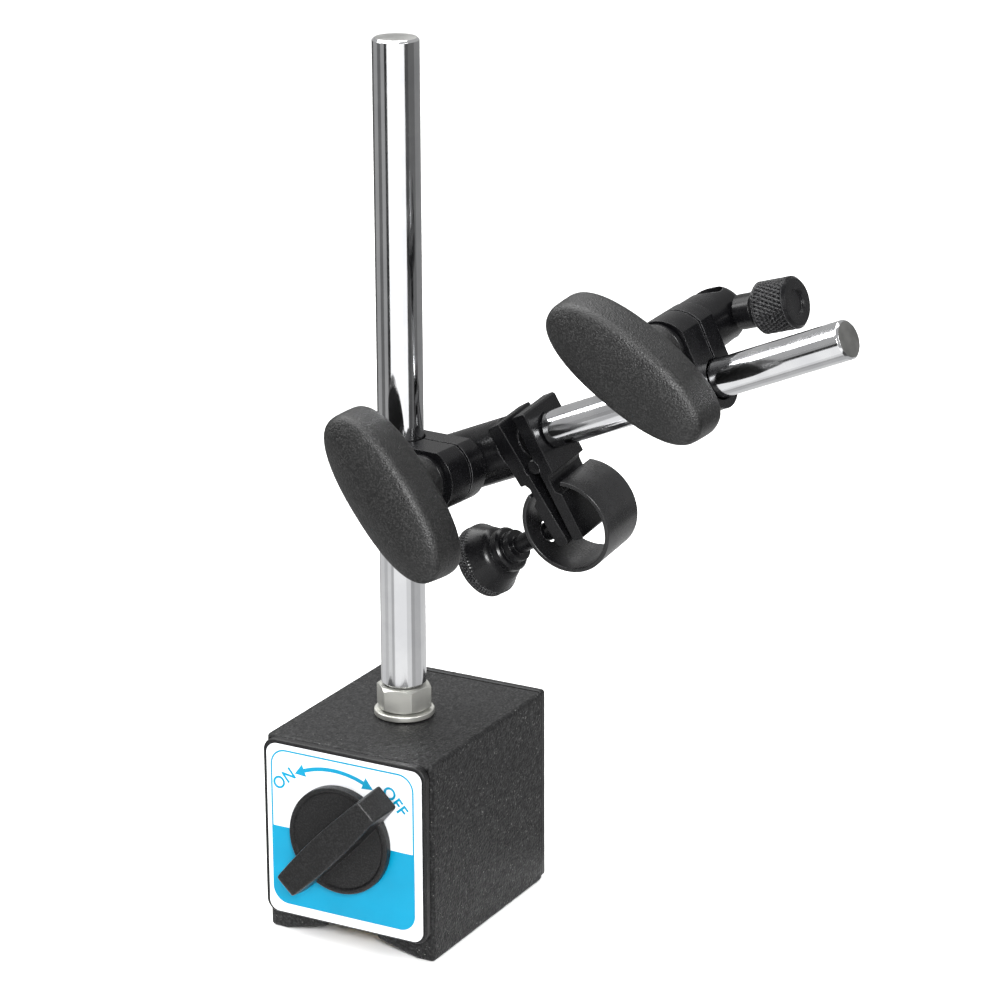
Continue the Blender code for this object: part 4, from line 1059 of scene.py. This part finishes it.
def make_ring(levers, left):
    """The open band spring, with rolled edges and a hole for the screw."""
    own = levers @ Matrix.Rotation(RING_TILT, 4, "Y")
    low, high = span("spring_ring", own)
    outer = (high.x - low.x) / 2
    gap = asin(RING_HALF_GAP / (outer - RING_WALL / 2))
    outline = arc((0, 0), outer, gap, 2 * pi - gap, RING_STEPS)
    outline += arc((0, 0), outer - RING_WALL, 2 * pi - gap, gap, RING_STEPS)
    band = bevelled(prism(outline, low.y, high.y, "Y"), PLATE_EDGE, 3, PLATE_ANGLE)
    placed = own @ Matrix.Translation(((high.x + low.x) / 2, 0, low.z + outer))
    hole = moved(screw_hole(RING_BORE, -2 * outer, -outer / 2, left), placed.inverted() @ left)
    band = cut(band, hole)
    fine_piece("spring_ring", band, placed, "spring_steel", "arm_base")


# --- Knurled screws ---


def ridge(value):
    """A triangle wave between 0 and 1 with a period of 1."""
    return 1 - abs(2 * (value - int(value // 1)) - 1)


def knurled(profile, teeth, knurl_low, knurl_high, radius):
    """Turns a profile round X and cuts a diamond knurl, with real teeth, between two heights."""
    segments = teeth * KNURL_STEPS
    pitch = 2 * pi * radius / teeth
    rows = max(KNURL_STEPS, ceil((knurl_high - knurl_low) / pitch * KNURL_STEPS))
    rings = []
    for profile_radius, height in profile:
        rings.append(circle(profile_radius, height, "X", segments))
        if abs(height - knurl_low) > TINY or abs(profile_radius - radius) > TINY:
            continue
        for row in range(1, rows):
            level = knurl_low + (knurl_high - knurl_low) * row / rows
            fade = min(1, min(row, rows - row) / KNURL_FADE_ROWS)
            climb = (level - knurl_low) / pitch / 2
            points = []
            for i in range(segments):
                share = i / segments * teeth
                height_share = min(ridge(share + climb), ridge(share - climb))
                depth = KNURL_DEPTH * fade * (1 - min(1, KNURL_TOP_SHARE * height_share))
                turn = 2 * pi * i / segments
                points.append(turned("X", level, (radius - depth) * cos(turn), (radius - depth) * sin(turn)))
            rings.append(points)
    return skinned(rings)


def make_fine_screw(local):
    """The fine-adjust screw: dished knurled rim, cone, grooved collar and plain shank."""
    low, high = span("fine_screw", local)
    far, tip, radius, edge = low.x, high.x, high.y, SCREW_EDGE
    near = far + FINE_RIM
    head = [(0, far + edge), (FINE_DISH, far + edge), (FINE_DISH + edge, far), (radius - edge, far)]
    head = soften(head + [(radius, far + edge)], SOFT)[:-1]
    rim = [(radius, far + edge), (radius, near - edge)]
    tail = [rim[1], (radius - edge, near), *((r, near + distance) for r, distance in FINE_CONE)]
    tail += [(SCREW_RADIUS, tip - edge), (SCREW_RADIUS - edge, tip), (0, tip)]
    body = knurled([*head, *rim, *soften(tail, SOFT)[1:]], FINE_KNURL_TEETH, far + edge, near - edge, radius)
    fine_piece("fine_screw", body, local, "black_oxide", "fine_screw")


def make_stem_screw(local):
    """The stem screw: plain shank, collar, groove and a knurled head with a recess in its end."""
    low, high = span("stem_screw", local)
    tip, end, head, shank, edge = low.x, high.x, high.y, SCREW_RADIUS, STEM_HEAD_EDGE
    seat = span("stem_head", local)[1].x + CLEARANCE
    knurl = end - STEM_HEAD_LENGTH
    groove = knurl - STEM_GROOVE
    profile = [(0, tip), (shank - EDGE, tip), (shank, tip + EDGE), (shank, seat), (STEM_NECK, seat)]
    profile += [(STEM_COLLAR, seat + EDGE), (STEM_COLLAR, groove - EDGE), (STEM_NECK, groove)]
    profile += [(STEM_NECK, knurl), (head - edge, knurl), (head, knurl + edge)]
    finish = [(head, end - edge), (head - edge, end), (STEM_RECESS + EDGE, end), (STEM_RECESS, end - EDGE)]
    finish += [(STEM_RECESS, end - edge), (0, end - edge)]
    profile = soften(profile, SOFT) + soften(finish, SOFT)
    body = knurled(profile, STEM_KNURL_TEETH, knurl + edge, end - edge, head)
    fine_piece("stem_screw", body, local, "black_oxide", "stem_screw")


# --- Arm rod and stem head ---


def make_arm_rod(local):
    low, high = span("arm_rod", local)
    radius, spigot, chamfer = high.y, ROD_SPIGOT, ROD_CHAMFER
    inverse = local.inverted()
    points = [inverse @ vertex.co for vertex in frame["nodes"]["arm_rod"].data.vertices]
    shoulder = min(p.x for p in points if hypot(p.y, p.z) > (radius + spigot) / 2)
    profile = [(0, low.x), (spigot, low.x), (spigot, shoulder), (radius, shoulder)]
    profile += [(radius, high.x - chamfer), (radius - chamfer, high.x), (0, high.x)]
    bar = lathed_piece("arm_rod", profile, local, "chrome", "arm_rod", "X", FINE_SEGMENTS)
    face_ends(bar, local, 0, low.x, high.x)


def make_stem_head(local, stem):
    """A domed bar with a cross hole for the stem, a hole for its screw and one for the clamp's stud."""
    low, high = span("stem_head", local)
    front, back, radius = low.y, high.y - DOME_TRIM, (high.z - low.z) / 2
    profile = [(0, front), (radius - EDGE, front), (radius, front + EDGE)]
    profile += arc((radius - STEM_DOME, back - STEM_DOME), STEM_DOME, 0, pi / 2, DOME_STEPS)
    body = lathe([*profile, (0, back)], "Y")
    past, lip = radius + OVERCUT, radius - STEM_CHAMFER
    flare = STEM_BORE + STEM_CHAMFER + OVERCUT
    bore = [(0, -past), (flare, -past), (STEM_BORE, -lip), (STEM_BORE, lip), (flare, past), (0, past)]
    to_stem = local.inverted() @ stem
    screw = moved(rod_between(SCREW_BORE, 0, 2 * radius, "X"), to_stem)
    stud = rod_between(STUD_BORE, 0, span("upper_stud", local)[1].y + CLEARANCE, "Y")
    body = cut(body, moved(lathe(bore), to_stem), screw, stud)
    fine_piece("stem_head", body, local, "black_oxide", "stem_head")


# --- Stage ---


def stage_plane(name, corners, material):
    data = bpy.data.meshes.new(name)
    data.from_pydata(corners, [], [tuple(range(len(corners)))])
    data.materials.append(material)
    obj = linked(name, data)
    return obj


def flat_material(name, shade, glow=0.0):
    """A plain matt colour, or a black that gives off this much light."""
    made = bpy.data.materials.new(name)
    made.use_nodes = True
    sockets = made.node_tree.nodes["Principled BSDF"].inputs
    sockets["Base Color"].default_value = (shade, shade, shade, 1)
    sockets["Roughness"].default_value = 0.9
    sockets["Specular IOR Level"].default_value = 0.0
    sockets["Emission Color"].default_value = (glow, glow, glow, 1)
    sockets["Emission Strength"].default_value = 1.0 if glow else 0.0
    return made


def area_light(name, place, target, size, power):
    data = bpy.data.lights.new(name, "AREA")
    data.shape = "RECTANGLE"
    data.size, data.size_y = size
    data.energy = power
    obj = linked(name, data)
    obj.location = place
    obj.rotation_euler = (Vector(target) - Vector(place)).to_track_quat("-Z", "Y").to_euler()


def make_reflected(column):
    """Patches round the column that give off a shade and that only reflections see."""
    for index, (start, end, near, far) in enumerate(REFLECTED, 1):
        level = Vector((column.x, column.y, REFLECTED_HEIGHT))
        start, end = CAMERA_AZIMUTH + radians(start), CAMERA_AZIMUTH + radians(end)
        turns = [start + (end - start) * i / REFLECTED_STEPS for i in range(REFLECTED_STEPS + 1)]
        rays = [Vector((sin(turn), -cos(turn), 0)) for turn in turns]
        patches = ("near", near, TABLE_START, TABLE_REACH), ("far", far, TABLE_REACH, FLOOR_REACH)
        for name, shade, inside, outside in patches:
            corners = [level + ray * inside for ray in rays]
            corners += [level + ray * outside for ray in reversed(rays)]
            label = name + "_" + str(index)
            patch = stage_plane("reflected_" + label, corners, flat_material("shade_" + label, 0, shade))
            patch.visible_camera = False
            patch.visible_diffuse = False
            patch.visible_shadow = False
            patch.visible_transmission = False


def make_stage(base):
    far = FLOOR_REACH
    corners = [(-far, -far, 0), (far, -far, 0), (far, far, 0), (-far, far, 0)]
    stage_plane("floor", corners, flat_material("floor_white", FLOOR_SHADE))
    make_reflected(FRAMES["column"].translation)
    for name, place, aim_height, size, power in LIGHTS:
        middle = base.translation
        area_light(name, middle + Vector(place), middle + Vector((0, 0, aim_height)), size, power)
    world = bpy.data.worlds.new("studio")
    world.use_nodes = True
    world.node_tree.nodes["Background"].inputs["Color"].default_value = (1, 1, 1, 1)
    world.node_tree.nodes["Background"].inputs["Strength"].default_value = WORLD_STRENGTH
    bpy.context.scene.world = world


def make_camera(base):
    azimuth, elevation = CAMERA_AZIMUTH, CAMERA_ELEVATION
    back = Vector((sin(azimuth) * cos(elevation), -cos(azimuth) * cos(elevation), sin(elevation)))
    right = Vector((cos(azimuth), sin(azimuth), 0))
    up = back.cross(right)
    right, up = (right * cos(CAMERA_ROLL) + up * sin(CAMERA_ROLL),
                 up * cos(CAMERA_ROLL) - right * sin(CAMERA_ROLL))
    aim = base.translation + Vector((0, 0, CAMERA_AIM_HEIGHT))
    aim += right * CAMERA_AIM_RIGHT + up * CAMERA_AIM_UP
    data = bpy.data.cameras.new("camera")
    data.lens = CAMERA_LENS
    data.sensor_width = CAMERA_SENSOR
    data.clip_start, data.clip_end = CAMERA_CLIP
    camera = linked("camera", data)
    camera.matrix_world = frame_of(aim + back * CAMERA_DISTANCE, right, up, back)
    bpy.context.scene.camera = camera
    bpy.context.scene.view_settings.view_transform = "Standard"


FINISHES = make_materials()
FRAMES = make_frames()


def main():
    refine_cad_materials()
    make_block(FRAMES["base"])
    make_covers(FRAMES["base"])
    make_label(FRAMES["base"])
    make_switch_knob(FRAMES["switch"])
    make_column(FRAMES["column"])
    make_grip("lower", "arm_tilt", "column", "column", LOWER_WING_ANGLE)
    make_swivel_head(FRAMES["swivel"], FRAMES["left"], FRAMES["levers"])
    make_levers(FRAMES["left"], FRAMES["levers"], FRAMES["swivel"], FRAMES["rod"])
    make_ring(FRAMES["levers"], FRAMES["left"])
    make_fine_screw(FRAMES["screw"])
    make_arm_rod(FRAMES["rod"])
    make_grip("upper", "stem_head_turn", "arm_rod", "rod", UPPER_WING_ANGLE)
    make_stem_head(FRAMES["upper_stud"], FRAMES["stem"])
    make_stem_screw(FRAMES["stem"])
    make_stage(FRAMES["base"])
    make_camera(FRAMES["base"])


main()
